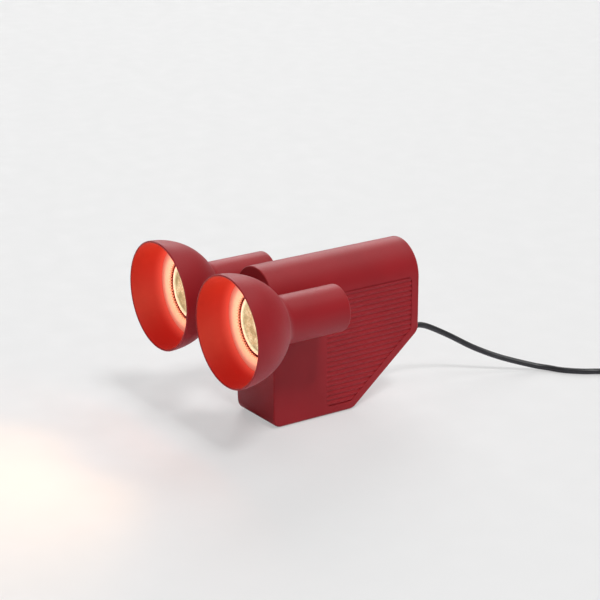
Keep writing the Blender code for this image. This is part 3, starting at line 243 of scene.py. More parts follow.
plug_height, tail_turn = 13.7 * mm, math.radians(20)
tail_side = Vector((-coil_way.y, coil_way.x, 0))
tail_count = 11
spot = coil[-1] + coil_way * gap
tail = [spot.copy()]
for step in range(1, tail_count):
    share = min(max((step - 1) / (tail_count - 3), 0.0), 1.0)
    tail_way = (coil_way * math.cos(tail_turn * share)
                + tail_side * math.sin(tail_turn * share))
    spot = spot + tail_way * tail_length / (tail_count - 1)
    fall = share * share * (3 - 2 * share)
    tail.append(spot - Vector((0, 0, (coil[-1].z - plug_height / 2) * fall)))
tail = smooth_route(tail, 4)
switch_out = run[-1] + along * (switch_length + 2 * gap)
link = smooth_route([run[-1], switch_out, switch_out + along * cord_width,
                     coil[0] - along * (gap + cord_width), coil[0] - along * gap], 8)
centreline = run + link[1:] + coil + tail
print("cord length:", round(run_length(centreline), 3), "m, coil radius",
      round(coil_radius / mm, 1), "mm")

# %% The cord itself
def open_curve(name, points, width, resolution):
    """A round cord on a straight-segment spline; each point's radius is half its width."""
    data = bpy.data.curves.new(name, "CURVE")
    data.dimensions = "3D"
    data.bevel_depth = 1.0
    data.bevel_resolution = resolution
    data.use_fill_caps = True
    spline = data.splines.new("POLY")
    spline.points.add(len(points) - 1)
    for place, point in zip(spline.points, points):
        place.co = (*point, 1)
        place.radius = width / 2
    spline.use_smooth = True
    return add_object(name, data)


mains_cord = open_curve("mains_cord", centreline, cord_width, 5)
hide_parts("cord_run", "cord_link", "cord_coil", "cord_tail")
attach(mains_cord, "body")
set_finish(mains_cord, "black_cord")
print("cord points:", len(centreline))

# %% [markdown]
# ## Helpers for the shapes
#
# Heads, rings, caps and bulbs are all turned shapes, so one helper spins a profile about the
# head's axis with bmesh.ops.spin. A full spin merges its seam, the doubles are removed, and
# only then are the normals recalculated, so that every wall faces outwards. Another helper
# extrudes an outline.
#
# Some pieces need a cut, such as the pockets in the body. A Boolean modifier does it: both
# shapes become objects for a moment, the exact solver works out the cut, and the result comes
# back as a bmesh.

# %% Turning, extruding and cutting
sides = (("right", 1), ("left", -1))
quarter_turn = math.radians(90)
weld, crisp_angle = 0.002 * mm, math.radians(32)


def as_mesh(name, bm):
    """Mesh data made from a bmesh, which is freed."""
    mesh = bpy.data.meshes.new(name)
    bm.to_mesh(mesh)
    bm.free()
    return mesh


def new_piece(name, bm, body, slot_name, *nodes):
    """A finished mesh that rides on a body and stands for its solids."""
    mesh = as_mesh(name, bm)
    mesh.shade_smooth()
    mesh.set_sharp_from_angle(angle=crisp_angle)
    piece = add_object(name, mesh)
    if nodes:
        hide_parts(*nodes)
    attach(piece, body)
    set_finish(piece, slot_name)
    print(name, len(mesh.polygons), "faces")
    return piece


def new_pair(name, shape, body, slot_name, node=None):
    """The same kind of piece for both sides; a head's piece rides on its own side's head."""
    pair = []
    for side_name, side in sides:
        rider = f"head_{side_name}" if body == "head" else body
        nodes = [f"{node}_{side_name}"] if node else []
        pair.append(new_piece(f"{name}_{side_name}", shape(side), rider, slot_name, *nodes))
    return pair


def moved(bm, way):
    """A shape moved by a vector."""
    bmesh.ops.translate(bm, vec=way, verts=bm.verts)
    return bm


def turned(bm, angle, axis):
    """A shape turned about an axis through the origin."""
    bmesh.ops.rotate(bm, cent=(0, 0, 0), matrix=Matrix.Rotation(angle, 3, axis), verts=bm.verts)
    return bm


def mirrored(bm):
    """A right-hand shape made left-handed."""
    bmesh.ops.scale(bm, vec=(-1, 1, 1), verts=bm.verts)
    bmesh.ops.reverse_faces(bm, faces=bm.faces)
    return bm


def turn_profile(profile, steps=96, closed=False):
    """Spin (radius, place) points about the Y axis through the origin."""
    bm = bmesh.new()
    verts = [bm.verts.new((0, y, r)) for r, y in profile]
    edges = [bm.edges.new(pair) for pair in zip(verts, verts[1:])]
    if closed:
        edges.append(bm.edges.new((verts[-1], verts[0])))
    bmesh.ops.spin(bm, geom=verts + edges, axis=(0, 1, 0), cent=(0, 0, 0), steps=steps,
                   angle=2 * math.pi, use_merge=True)
    bmesh.ops.remove_doubles(bm, verts=bm.verts, dist=weld)
    bmesh.ops.recalc_face_normals(bm, faces=bm.faces)
    return bm


def extruded(outline, way):
    """A prism over a flat outline of points."""
    bm = bmesh.new()
    face = bm.faces.new([bm.verts.new(point) for point in outline])
    grown = bmesh.ops.extrude_face_region(bm, geom=[face])["geom"]
    bmesh.ops.translate(bm, vec=way, verts=[g for g in grown if isinstance(g, bmesh.types.BMVert)])
    bmesh.ops.recalc_face_normals(bm, faces=bm.faces)
    return bm


def bar(radius, start, end, place=(0, 0, 0), steps=48):
    """A round bar along X, used as a boss or a drill."""
    bm = bmesh.new()
    bmesh.ops.create_cone(bm, cap_ends=True, segments=steps, radius1=radius, radius2=radius,
                          depth=end - start)
    return moved(turned(bm, quarter_turn, "Y"), Vector(place) + Vector(((start + end) / 2, 0, 0)))


def arc(centre, radius, start, end, steps):
    """Points on an arc in a profile, in degrees; 0 is outwards and 90 towards the tail."""
    points = []
    for step in range(steps + 1):
        a = math.radians(start + (end - start) * step / steps)
        points.append((centre[0] + radius * math.cos(a), centre[1] + radius * math.sin(a)))
    return points


def at_head(bm, side):
    """Move a shape from the head's own axis to its place beside the body."""
    return moved(bm, (side * head_offset, pivot_y, head_height))


def soft_rims(bm, picked, radius, steps=4):
    """Round the picked edges of a shape."""
    bmesh.ops.bevel(bm, geom=picked, offset=radius, segments=steps, profile=0.5,
                    affect="EDGES", clamp_overlap=False, material=-1)
    return bm


def carve(bm, tool, operation="DIFFERENCE"):
    """The Boolean of two closed shapes, as a new shape."""
    pair = []
    for shape in (bm, tool):
        bmesh.ops.remove_doubles(shape, verts=shape.verts, dist=weld)
        bmesh.ops.recalc_face_normals(shape, faces=shape.faces)
        pair.append(add_object("shape", as_mesh("shape", shape)))
    modifier = pair[0].modifiers.new("cut", "BOOLEAN")
    modifier.solver, modifier.operation, modifier.object = "EXACT", operation, pair[1]
    result = bmesh.new()
    result.from_object(pair[0], bpy.context.evaluated_depsgraph_get())
    for item in pair:
        mesh = item.data
        bpy.data.objects.remove(item)
        bpy.data.meshes.remove(mesh)
    return result


def bell_at(angle, inset=0.0):
    """A point of the bell, where 0 degrees is its rim and 90 the middle of its crown."""
    a = math.radians(angle)
    return ((shade_radius - inset) * math.cos(a), rim_y + (shade_depth - inset) * math.sin(a))


crease_y = bell_at(math.degrees(math.acos(tube_radius / shade_radius)))[1]
print("the bell meets the tube", round((crease_y - rim_y) / mm, 1), "mm behind the rim")

# %% [markdown]
# ## The heads
#
# Each head is spun from one sheet: a bell with a quarter of an ellipse as its outline, a soft
# hollow where it meets the tube, and a straight tube with a rounded tail. The rim is a full
# round lip, because a cut edge of thin metal is always dressed. A short boss on the tube's
# inner side meets the friction washer. An attribute marks the inner wall of the shade, for the
# paint to read later.

# %% Head shells
neck_rise, neck_run, tail_round = 6.5 * mm, 5.0 * mm, 1.4 * mm
crease_out, crease_back = 0.2 * mm, 0.6 * mm
rim_angle, bell_steps = 1.2, 40
boss_radius, boss_root = 8.0 * mm, 16.5 * mm


def head_profile():
    """The wall of the head as a closed outline, from the rim round to the rim again."""
    lip = arc((shade_radius - shade_wall / 2, rim_y + shade_wall / 2), shade_wall / 2,
              -180, 0, 10)
    neck_angle = math.degrees(math.acos((tube_radius + neck_rise) / shade_radius))
    outer = [bell_at(rim_angle + (neck_angle - rim_angle) * step / bell_steps)
             for step in range(bell_steps + 1)]
    start, crease = outer[-1], (tube_radius + crease_out, crease_y - crease_back)
    landing = (tube_radius, crease_y + neck_run)
    for step in range(1, 9):
        t = step / 8
        weights = ((1 - t) ** 2, 2 * t * (1 - t), t * t)
        outer.append(tuple(sum(w * p[k] for w, p in zip(weights, (start, crease, landing)))
                           for k in (0, 1)))
    edge = arc((tube_radius - tail_round, tail_y - tail_round), tail_round, 0, 90, 8)
    bore = tube_radius - tube_wall
    inner_angle = math.degrees(math.acos(bore / (shade_radius - shade_wall)))
    inner = [bell_at(inner_angle + (rim_angle - inner_angle) * step / bell_steps, shade_wall)
             for step in range(bell_steps + 1)]
    return lip + outer + edge + [(bore, tail_y)] + inner


def head_shell(side):
    """One head with its boss, drilled for the pivot pipe."""
    face = head_offset - (half_width + seat_height + 2 * gap + washer_thickness)
    shell = carve(turn_profile(head_profile(), 144, True), bar(boss_radius, -face, -boss_root),
                  "UNION")
    shell = carve(shell, bar(pipe_hole, -face - overcut, 0))
    return at_head(shell if side > 0 else mirrored(shell), side)


for shell, (_, side) in zip(new_pair("spun_head", head_shell, "head", "red_paint", "head_shell"),
                            sides):
    inner_wall = shell.data.attributes.new("inner_wall", "FLOAT", "POINT")
    for vert, value in zip(shell.data.vertices, inner_wall.data):
        reach = math.hypot(vert.co.x - side * head_offset, vert.co.z - head_height)
        share = min(max((vert.co.y - pivot_y - rim_y) / shade_depth, 0.0), 1.0)
        skin = (shade_radius - shade_wall / 2) * math.sqrt(1 - share * share)
        value.value = 1.0 if tube_radius < reach < skin else 0.0

# %% [markdown]
# ## Rings, bulbs and lenses
#
# A dished ring closes the space round each bulb. Its hole has small notches that let warm air
# out. The bulb's glass face is a disc with a bright bezel and a field of small domes, which
# spread the light. Each dome is a real bump, made from a low sphere with few faces, because
# there are hundreds of them.

# %% Dished rings
ring_hole, ring_crown, ring_thickness, notch_count = 26.2 * mm, 31.5 * mm, 1.2 * mm, 68
notch_end, notch_share, notch_depth, groove_depth = 28.0 * mm, 0.22, 0.5 * mm, 0.4 * mm
lip_rise, crown_rise, seat_rise = 1.0 * mm, 3.8 * mm, 2.9 * mm


def dished_ring(side):
    """A thin ring with a soft crown, notched round its hole."""
    lip, front, seat = bulb_y - lip_rise, bulb_y - crown_rise, bulb_y - seat_rise
    rims = []
    for y in (seat, seat + ring_thickness):
        angle = math.asin((y - rim_y) / (shade_depth - shade_wall))
        rims.append((shade_radius - shade_wall) * math.cos(angle) - gap / 3)
    face = []
    for step in range(9):
        t = step / 8
        face.append((ring_hole + (ring_crown - ring_hole) * t,
                     lip + (front - lip) * (1 - (1 - t) ** 1.6)))
    for step in range(1, 7):
        t = step / 6
        face.append((ring_crown + (rims[0] - ring_crown) * t, front + (seat - front) * t ** 1.4))
    back = [(radius, y + ring_thickness) for radius, y in face]
    back[-1] = (rims[1], seat + ring_thickness)
    bm = turn_profile(face + back[::-1], notch_count * 6, True)
    for vert in bm.verts:
        radius = math.hypot(vert.co.x, vert.co.z)
        turn = math.atan2(vert.co.x, vert.co.z) / (2 * math.pi) * notch_count
        if abs(turn - round(turn)) > notch_share:
            continue
        if radius < ring_hole + 0.3 * mm:
            stretch = (ring_hole + notch_depth) / radius
            vert.co.x, vert.co.z = vert.co.x * stretch, vert.co.z * stretch
        elif radius < notch_end and vert.co.y < lip:
            vert.co.y += groove_depth
    return at_head(bm, side)


new_pair("dished_ring", dished_ring, "head", "cream_plastic", "bulb_ring")

# %% Bulbs
def bulb_shape(side):
    """The reflector bulb: a straight rim, a flared bowl and a narrow base."""
    share = ((tube_radius - tube_wall - 0.9 * mm) / bulb_radius) ** 2
    start = bulb_y + 3 * mm
    vertex = (crease_y - share * start) / (1 - share)
    stop = vertex - (vertex - start) * (bulb_base_radius / bulb_radius) ** 2
    floor, well = bulb_y + 2.8 * mm, bulb_radius - 1.4 * mm
    outline = [(0, floor), (well, floor), (well, bulb_y + 0.3 * mm),
               (bulb_radius - 1.1 * mm, bulb_y), (bulb_radius - 0.4 * mm, bulb_y),
               (bulb_radius, bulb_y + 0.4 * mm), (bulb_radius, start)]
    for step in range(1, 25):
        y = start + (stop - start) * step / 24
        outline.append((bulb_radius * math.sqrt((vertex - y) / (vertex - start)), y))
    base, chamfer = bulb_y + bulb_length, 0.6 * mm
    outline += [(bulb_base_radius, base - chamfer), (bulb_base_radius - chamfer, base), (0, base)]
    return at_head(turn_profile(outline), side)


def bulb_pins(side):
    """The two stepped pins behind the bulb's base."""
    base = bulb_y + bulb_length
    stem, head, chamfer = 1.6 * mm, 2.5 * mm, 0.2 * mm
    both = bmesh.new()
    for lift in (-5 * mm, 5 * mm):
        profile = [(0, base), (stem, base), (stem, base + 4.5 * mm),
                   (head - chamfer, base + 4.5 * mm), (head, base + 4.7 * mm),
                   (head, base + 7.3 * mm), (head - chamfer, base + 7.5 * mm),
                   (0, base + 7.5 * mm)]
        mesh = as_mesh("pin", moved(turn_profile(profile, 24), (0, 0, lift)))
        both.from_mesh(mesh)
        bpy.data.meshes.remove(mesh)
    return at_head(both, side)


new_pair("bulb_glass", bulb_shape, "head", "bulb_shell", "bulb_body")
new_pair("bulb_pins", bulb_pins, "head", "steel")

# %% Lenses with their domes
lens_radius, dome_pitch = bulb_radius - 1.7 * mm, 2.5 * mm
lens_front, bezel_height = bulb_y + 0.5 * mm, 0.25 * mm
row_pitch, dome_radius, dome_flatness = dome_pitch * 0.866, dome_pitch * 0.49, 0.42


def lens_disc(side):
    """The lens plate with a raised bezel round its edge."""
    back = lens_front + 2.0 * mm
    profile = [(0, lens_front), (lens_radius - 1.9 * mm, lens_front),
               (lens_radius - 1.6 * mm, lens_front - bezel_height),
               (lens_radius - 0.4 * mm, lens_front - bezel_height),
               (lens_radius, lens_front + 0.1 * mm), (lens_radius, back), (0, back)]
    return at_head(turn_profile(profile), side)


def lens_domes(side):
    """Low domes in a honeycomb over the whole plate."""
    bm = bmesh.new()
    rows = int(lens_radius / row_pitch) + 1
    reach = lens_radius - 2.2 * mm - dome_pitch / 2
    for row in range(-rows, rows + 1):
        for column in range(-rows - 2, rows + 3):
            x = (column + (row % 2) / 2) * dome_pitch
            z = row * row_pitch
            if math.hypot(x, z) > reach:
                continue
            place = Matrix.Translation((x, lens_front, z)) @ Matrix.Diagonal(
                (1, dome_flatness, 1, 1))
            bmesh.ops.create_uvsphere(bm, u_segments=8, v_segments=6, radius=dome_radius,
                                      matrix=place)
    below = [v for v in bm.verts if v.co.y > lens_front + 0.2 * mm]
    bmesh.ops.delete(bm, geom=below, context="VERTS")
    return at_head(bm, side)


new_pair("lens_plate", lens_disc, "head", "bulb_lens", "bulb_lens")
new_pair("lens_domes", lens_domes, "head", "bulb_lens")

# %% [markdown]
# ## The body
#
# The outside of the body is lofted through sections that stand one behind the other. Each is
# an arch on two rounded corners. Where the sections' feet rise they make the rounded toe, the
# bend at the foot of the slant and the heel above it. A small round at both ends lets light
# run along the rims as it does on a moulded case. The hollow inside is simpler: an extruded
# arch, with its lower rear taken off by a bisecting plane. The pockets for the side covers,
# the pivot seats and the drilled holes follow as cuts.

# %% The solid form of the body
arch_steps, foot_steps, thinnest_foot = 48, 8, 0.3 * mm


def round_one(bm, edge, radius, steps):
    """Round one edge to a radius, whatever its angle."""
    soft_rims(bm, [edge], radius * math.tan(edge.calc_face_angle() / 2), steps)


def body_block(inset, bottom, corner, steps):
    """The arched block with its slanted lower rear, drawn in by an inset."""
    half, start = half_width - inset, front_y + inset
    outline = [(half, start, bottom)]
    for step in range(steps + 1):
        a = math.pi * step / steps
        outline.append((half * math.cos(a), start, spring_z + half * math.sin(a)))
    bm = extruded(outline + [(-half, start, bottom)], (0, body_length - 2 * inset, 0))
    foot = Vector((0, slant_start_y, underside_lift)) - slant_normal * inset
    cut = bmesh.ops.bisect_plane(bm, geom=bm.verts[:] + bm.edges[:] + bm.faces[:],
                                 plane_co=foot, plane_no=slant_normal, clear_outer=True)
    bmesh.ops.edgeloop_fill(
        bm, edges=[g for g in cut["geom_cut"] if isinstance(g, bmesh.types.BMEdge)])
    bmesh.ops.recalc_face_normals(bm, faces=bm.faces)
    slant = max(bm.faces, key=lambda f: f.normal.dot(slant_normal))
    for edge in [e for e in slant.edges if abs(e.verts[0].co.x - e.verts[1].co.x) > half
                 and e.verts[0].co.z > bottom - gap]:
        round_one(bm, edge, corner, 8)
    return bm


def body_ring(y, inset, bottom, corner, slope=0.0):
    """The body's section at a place along it: an arch that stands on two rounded corners."""
    half, across = half_width - inset, max(corner - inset, thinnest_foot)
    up = across / max(math.cos(slope), 0.25)
    arch, foot = [], []
    for step in range(arch_steps + 1):
        a = math.pi * step / arch_steps
        arch.append((half * math.cos(a), y, spring_z + half * math.sin(a)))
    for step in range(foot_steps + 1):
        a = math.pi / 2 * step / foot_steps
        foot.append((half - across * (1 - math.cos(a)), bottom + up * (1 - math.sin(a))))
    return arch + [(-x, y, z) for x, z in foot] + [(x, y, z) for x, z in reversed(foot)]


def body_rings():
    """Sections from the rounded toe, over the bend at the slant's foot, to the rear rim."""
    slope = math.atan2(slant_way.z, slant_way.y)
    round_angles = [math.pi / 2 * step / 5 for step in range(6)]
    rings = []
    reaches = [rim_radius * (1 - math.cos(a)) for a in round_angles]
    reaches += [toe_radius * (1 - math.cos(math.pi / 2 * step / 12)) for step in range(1, 13)]
    for reach in sorted(reaches):
        inset = rim_radius - math.sqrt(rim_radius ** 2 - max(rim_radius - reach, 0.0) ** 2)
        rest = (toe_radius - reach) / toe_radius
        rings.append(body_ring(front_y + reach, inset,
                               underside_lift + toe_radius * (1 - math.sqrt(1 - rest ** 2)),
                               foot_radius, math.asin(rest)))
    bend_y = slant_start_y - bend_radius * math.tan(slope / 2)
    for step in range(9):
        a = slope * step / 8
        rings.append(body_ring(bend_y + bend_radius * math.sin(a), 0,
                               underside_lift + bend_radius * (1 - math.cos(a)),
                               foot_radius + (slant_radius - foot_radius) * step / 8, a))
    heel_y = rear_y - bend_radius
    heel_z = slant_height + bend_radius * math.tan((math.pi / 2 - slope) / 2)
    last = math.asin(1 - rim_radius / bend_radius)
    places = [(slope + (last - slope) * step / 6, 0.0) for step in range(6)]
    for a in reversed(round_angles):
        y = rear_y - rim_radius * (1 - math.cos(a))
        places.append((math.asin(min((y - heel_y) / bend_radius, 1.0)),
                       rim_radius * (1 - math.sin(a))))
    for a, inset in places:
        rings.append(body_ring(heel_y + bend_radius * math.sin(a), inset,
                               heel_z - bend_radius * math.cos(a), slant_radius, a))
    return rings


def loft(rings):
    """Bridge sections of as many points each, and close both ends."""
    bm = bmesh.new()
    loops = []
    for ring in rings:
        verts = [bm.verts.new(point) for point in ring]
        loops.append([bm.edges.new(pair) for pair in zip(verts, verts[1:] + verts[:1])])
    for near, far in zip(loops, loops[1:]):
        bmesh.ops.bridge_loops(bm, edges=near + far)
    bmesh.ops.edgeloop_fill(bm, edges=loops[0])
    bmesh.ops.edgeloop_fill(bm, edges=loops[-1])
    bmesh.ops.recalc_face_normals(bm, faces=bm.faces)
    return bm


body = loft(body_rings())
print("body form:", len(body.faces), "faces")

# %% [markdown]
# The pocket is five-sided: its front and rear edges are upright, its top follows the line
# where the arch springs, and its lower rear edge runs beside the slant. The same outline,
# drawn in by a fine seam, trims the ribbed cover.

# %% Pockets, seats and the hollow
cover_front, cover_rear, cover_top = front_y + 52.0 * mm, rear_y - 7.5 * mm, spring_z + 1.6 * mm
cover_bottom, cover_margin, pocket_depth = underside_lift + 7.4 * mm, 7.0 * mm, 2.9 * mm
cover_corner, hollow_corner, seat_root, gland_bore = 4.0 * mm, 4.5 * mm, 5.5 * mm, 5.1 * mm


def slant_at(z, inset):
    """Where the slanted wall stands at a height, at an inset from its outside."""
    foot = Vector((0, slant_start_y, underside_lift)) - slant_normal * inset
    return foot.y + (z - foot.z) * slant_way.y / slant_way.z


def cover_block(margin, x, depth):
    """A block with the outline of a side cover."""
    front, rear = cover_front + margin, cover_rear - margin
    low, top = cover_bottom + margin, cover_top - margin
    low_y = slant_at(low, cover_margin + margin)
    corner_z = low + (rear - low_y) * slant_way.z / slant_way.y
    places = [(front, low), (front, top), (rear, top), (rear, corner_z), (low_y, low)]
    bm = extruded([(x, y, z) for y, z in places], (depth, 0, 0))
    for edge in [e for e in bm.edges if abs(e.verts[0].co.x - e.verts[1].co.x) > abs(depth) / 2]:
        round_one(bm, edge, cover_corner, 8)
    return bm


pivot_place = (0, pivot_y, head_height)
seat_reach = half_width + seat_height
body = carve(body, bar(seat_radius, -seat_reach, seat_reach, pivot_place, 64), "UNION")
hollow = body_block(wall, underside_lift - overcut, hollow_corner, 24)
for side in (-1, 1):
    ends = sorted((side * (half_width - seat_root), side * (half_width + overcut)))
    hollow = carve(hollow, bar(seat_radius, *ends, pivot_place))
body = carve(body, hollow)
body = carve(body, bar(pipe_hole, -seat_reach - overcut, seat_reach + overcut, pivot_place))
for side in (-1, 1):
    body = carve(body, cover_block(0, side * (half_width - pocket_depth),
                                   side * (pocket_depth + overcut)))
gland_hole = turned(bar(gland_bore, 60 * mm, 120 * mm), quarter_turn, "Z")
body = carve(body, moved(gland_hole, (0, 0, gland_height)))
new_piece("case", body, "body", "red_paint", "body_housing")

# %% [markdown]
# ## The ribbed covers
#
# The ribs run level along the cover. Their section is drawn once, with softly rounded crests,
# extruded along the body, and trimmed to the pocket's outline.

# %% Ribbed covers
seam, rib_pitch, rib_depth, crest_sink = 0.08 * mm, 4.15 * mm, 0.75 * mm, 0.15 * mm
rib_section = ((0.0, 0.0), (0.13, 0.0), (0.30, 0.78), (0.335, 0.93), (0.39, 1.0),
               (0.61, 1.0), (0.665, 0.93), (0.70, 0.78), (0.87, 0.0))


def ribbed_cover(side):
    """A plate with level ribs that fills one pocket."""
    back, crest = half_width - pocket_depth + gap, half_width - crest_sink
    groove = crest - rib_depth
    bottom, top = cover_bottom + seam, cover_top - seam
    count = round((top - bottom) / rib_pitch)
    pitch = (top - bottom) / count
    section = [(back, bottom)]
    for rib in range(count):
        z = bottom + rib * pitch
        for share, rise in rib_section:
            section.append((groove + (crest - groove) * rise, z + pitch * share))
    section += [(groove, top), (back, top)]
    bm = extruded([(x, cover_front - overcut / 2, z) for x, z in section],
                  (0, cover_rear - cover_front + overcut, 0))
    bm = carve(bm, cover_block(seam, back - overcut, 3 * overcut), "INTERSECT")
    return bm if side > 0 else mirrored(bm)


new_pair("ribbed_cover", ribbed_cover, "body", "red_cover", "side_cover")

# %% [markdown]
# ## Caps, washers and the cord's sleeve
#
# A flat cap closes the tail of each tube, a hair below its edge. Between body and head sits a
# fibre washer that holds the tilt by friction. The sleeve that guards the cord is a soft taper
# with grooves, so that it bends evenly.

# %% Rear caps and friction washers
def rear_cap(side):
    """The cap with a rounded edge and its skirt."""
    back, radius = tail_y - 0.4 * mm, tube_radius - tube_wall - gap
    edge, skirt, depth, plate = 0.5 * mm, 1.4 * mm, 7.2 * mm, 2.2 * mm
    outline = [(0, back)] + arc((radius - edge, back - edge), edge, 90, 0, 4)
    outline += [(radius, back - depth), (radius - skirt, back - depth),
                (radius - skirt, back - plate), (0, back - plate)]
    return at_head(turn_profile(outline), side)


def friction_washer(side):
    """A flat ring with a broken edge, round the pivot thread."""
    start = half_width + seat_height + gap
    stop, edge = start + washer_thickness, 0.15 * mm
    profile = [(pipe_hole, start), (washer_radius - edge, start), (washer_radius, start + edge),
               (washer_radius, stop - edge), (washer_radius - edge, stop), (pipe_hole, stop)]
    return moved(turned(turn_profile(profile, 64, True), -side * quarter_turn, "Z"), pivot_place)


new_pair("tail_cap", rear_cap, "head", "red_paint", "rear_cap")
new_pair("fibre_washer", friction_washer, "body", "fibre", "friction_washer")

# %% The grooved sleeve
flange_radius, flange_thickness, ring_count = 6.8 * mm, 2.5 * mm, 5
sleeve_radius, sleeve_taper, sleeve_groove = 4.8 * mm, 1.3 * mm, 0.5 * mm


def bend_sleeve():
    """A flange inside the wall, then a taper with five soft grooves."""
    low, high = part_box("cord_gland")
    seat, tip = low[1] + flange_thickness, high[1]
    mouth = slant_at(gland_height + sleeve_radius, 0)
    profile = [(0, low[1]), (flange_radius, low[1]), (flange_radius, seat),
               (sleeve_radius, seat), (sleeve_radius, mouth)]
    step = (tip - mouth) / (2 * ring_count)
    for ring in range(ring_count):
        for share in (0.0, 0.5, 0.9, 1.1, 1.5, 1.9):
            place = mouth + step * (2 * ring + share)
            radius = sleeve_radius - sleeve_taper * (place - mouth) / (tip - mouth)
            profile.append((radius - (sleeve_groove if share > 1.0 else 0.0), place))
    profile += [(3.2 * mm, tip - 0.2 * mm), (3.0 * mm, tip), (0, tip)]
    return moved(turn_profile(profile, 64), (0, 0, gland_height))


new_piece("bend_sleeve", bend_sleeve(), "body", "black_rubber", "cord_gland")

# %% [markdown]
# ## The switch, the tie and the plug
#
# These lie on the cord outside the picture. They still get round edges and true outlines,
# because the lamp is looked at from every side. The switch is a flat shell in two halves,
# which narrows to the cord at both ends.

# %% A place on the cord
def on_cord(bm, middle, way):
    """Turn a shape made along X onto the cord's way and move it there."""
    return moved(turned(bm, math.atan2(way.y, way.x), "Z"), middle)


def slab(outline, low, high):
    """An upright prism between two heights over an outline."""
    return extruded([(x, y, low) for x, y in outline], (0, 0, high - low))


def block(low, high):
    """A plain box between two corners, used as a cutter."""
    return slab([(low[0], low[1]), (high[0], low[1]), (high[0], high[1]), (low[0], high[1])],
                low[2], high[2])


def rim_edges(bm, *heights):
    """The sharp edges whose ends lie at given heights."""
    return [e for e in bm.edges if e.calc_face_angle(0) > 1
            and all(min(abs(v.co.z - z) for z in heights) < 0.01 * mm for v in e.verts)]


print("the switch lies at", round(math.degrees(heading), 1), "degrees on the floor")

# %% Switch halves and rocker
parting, switch_top = 6.5 * mm, 13.5 * mm
key_long, key_wide, key_rise, key_play = 8.5 * mm, 4.5 * mm, 1.2 * mm, 0.6 * mm
key_dish, key_pin, key_tilt = 14.0 * mm, 1.2 * mm, math.radians(7)
rocker_axis = parting + gap + key_pin + key_play
half_long, half_wide = key_long + key_play, key_wide + gap
switch_middle = run[-1] + along * (switch_length / 2 + gap)
switch_middle.z = 0


def switch_half(low, high, rim_at):
    """One shell of the switch, rounded along its corners and its outer rim."""
    half, body_half, end_half = switch_length / 2, 12.0 * mm, 5.5 * mm
    shoulder = half - 13.0 * mm
    outline = [(half, -end_half), (half, end_half), (shoulder, body_half),
               (-shoulder, body_half), (-half, end_half), (-half, -end_half),
               (-shoulder, -body_half), (shoulder, -body_half)]
    bm = slab(outline, low, high)
    for edge in [e for e in bm.edges if abs(e.verts[0].co.z - e.verts[1].co.z) > gap]:
        round_one(bm, edge, 3.0 * mm, 5)
    return soft_rims(bm, rim_edges(bm, rim_at), 1.5 * mm)


def rocker_key():
    """The rocker: a dished top, a keel below, and two short pins."""
    top, foot = switch_top + key_rise - rocker_axis, -1.5 * mm
    outline = [(-key_long, foot + key_rise), (0, foot), (key_long, foot + key_rise)]
    for step in range(25):
        x = 7.5 * mm * (1 - step / 12)
        sag = key_dish * (1 - math.sqrt(1 - (x / key_dish) ** 2)) / 3
        outline.append((x, top - key_rise + sag))
    bm = slab(outline, -key_wide, key_wide)
    soft_rims(bm, rim_edges(bm, -key_wide, key_wide), 0.4 * mm, 3)
    pins = turned(bar(key_pin, -6.0 * mm, 6.0 * mm, steps=32), quarter_turn, "Z")
    return turned(carve(turned(bm, quarter_turn, "X"), pins, "UNION"), key_tilt, "Y")


well = [(-half_long, -half_wide, parting / 3), (half_long, half_wide, switch_top + overcut)]
pin_slot = [(-1.5 * mm, -6.6 * mm, parting - overcut),
            (1.5 * mm, 6.6 * mm, rocker_axis + 1.5 * mm)]
lower_shell = carve(switch_half(0, parting - gap / 2, 0), block(*well))
upper_shell = carve(switch_half(parting + gap / 2, switch_top, switch_top), block(*well))
upper_shell = carve(upper_shell, block(*pin_slot))
for half_name, half_shell in (("lower", lower_shell), ("upper", upper_shell)):
    new_piece(f"switch_shell_{half_name}", on_cord(half_shell, switch_middle, along), "body",
              "black_plastic", f"switch_{half_name}")
new_piece("rocker_key", on_cord(rocker_key(), switch_middle + Vector((0, 0, rocker_axis)), along),
          "rocker", "black_plastic", "switch_rocker")

# %% The tie round the coil
def hook_tie():
    """A band round the bundle, on the side away from both ends of the cord."""
    slack, half = cord_width / 2 + 2 * gap, 4.0 * mm
    inner = coil_outer - coil_swing - slack
    outer = coil_outer + climb_turns / 2 * coil_pitch + slack
    top = coil_floor + (coil_layers - 1) * coil_pitch + slack
    band = block((inner - tie_skin, -half, 0), (outer + tie_skin, half, top + tie_skin))
    long_edges = [e for e in band.edges if abs(e.verts[0].co.y - e.verts[1].co.y) > half]
    soft_rims(band, long_edges, 1.0 * mm, 5)
    hole = block((inner, -half - overcut, tie_skin), (outer, half + overcut, top))
    return on_cord(carve(band, hole), coil_centre, along)


new_piece("hook_tie", hook_tie(), "body", "tie", "coil_tie")

# %% Plug and pins
plug_length, plug_width, plug_flat = 37.0 * mm, 35.3 * mm, 26.1 * mm
prong_radius, prong_offset, prong_root = 2.3 * mm, 9.3 * mm, 10 * mm
plug_end = tail[-1] + tail_way * gap


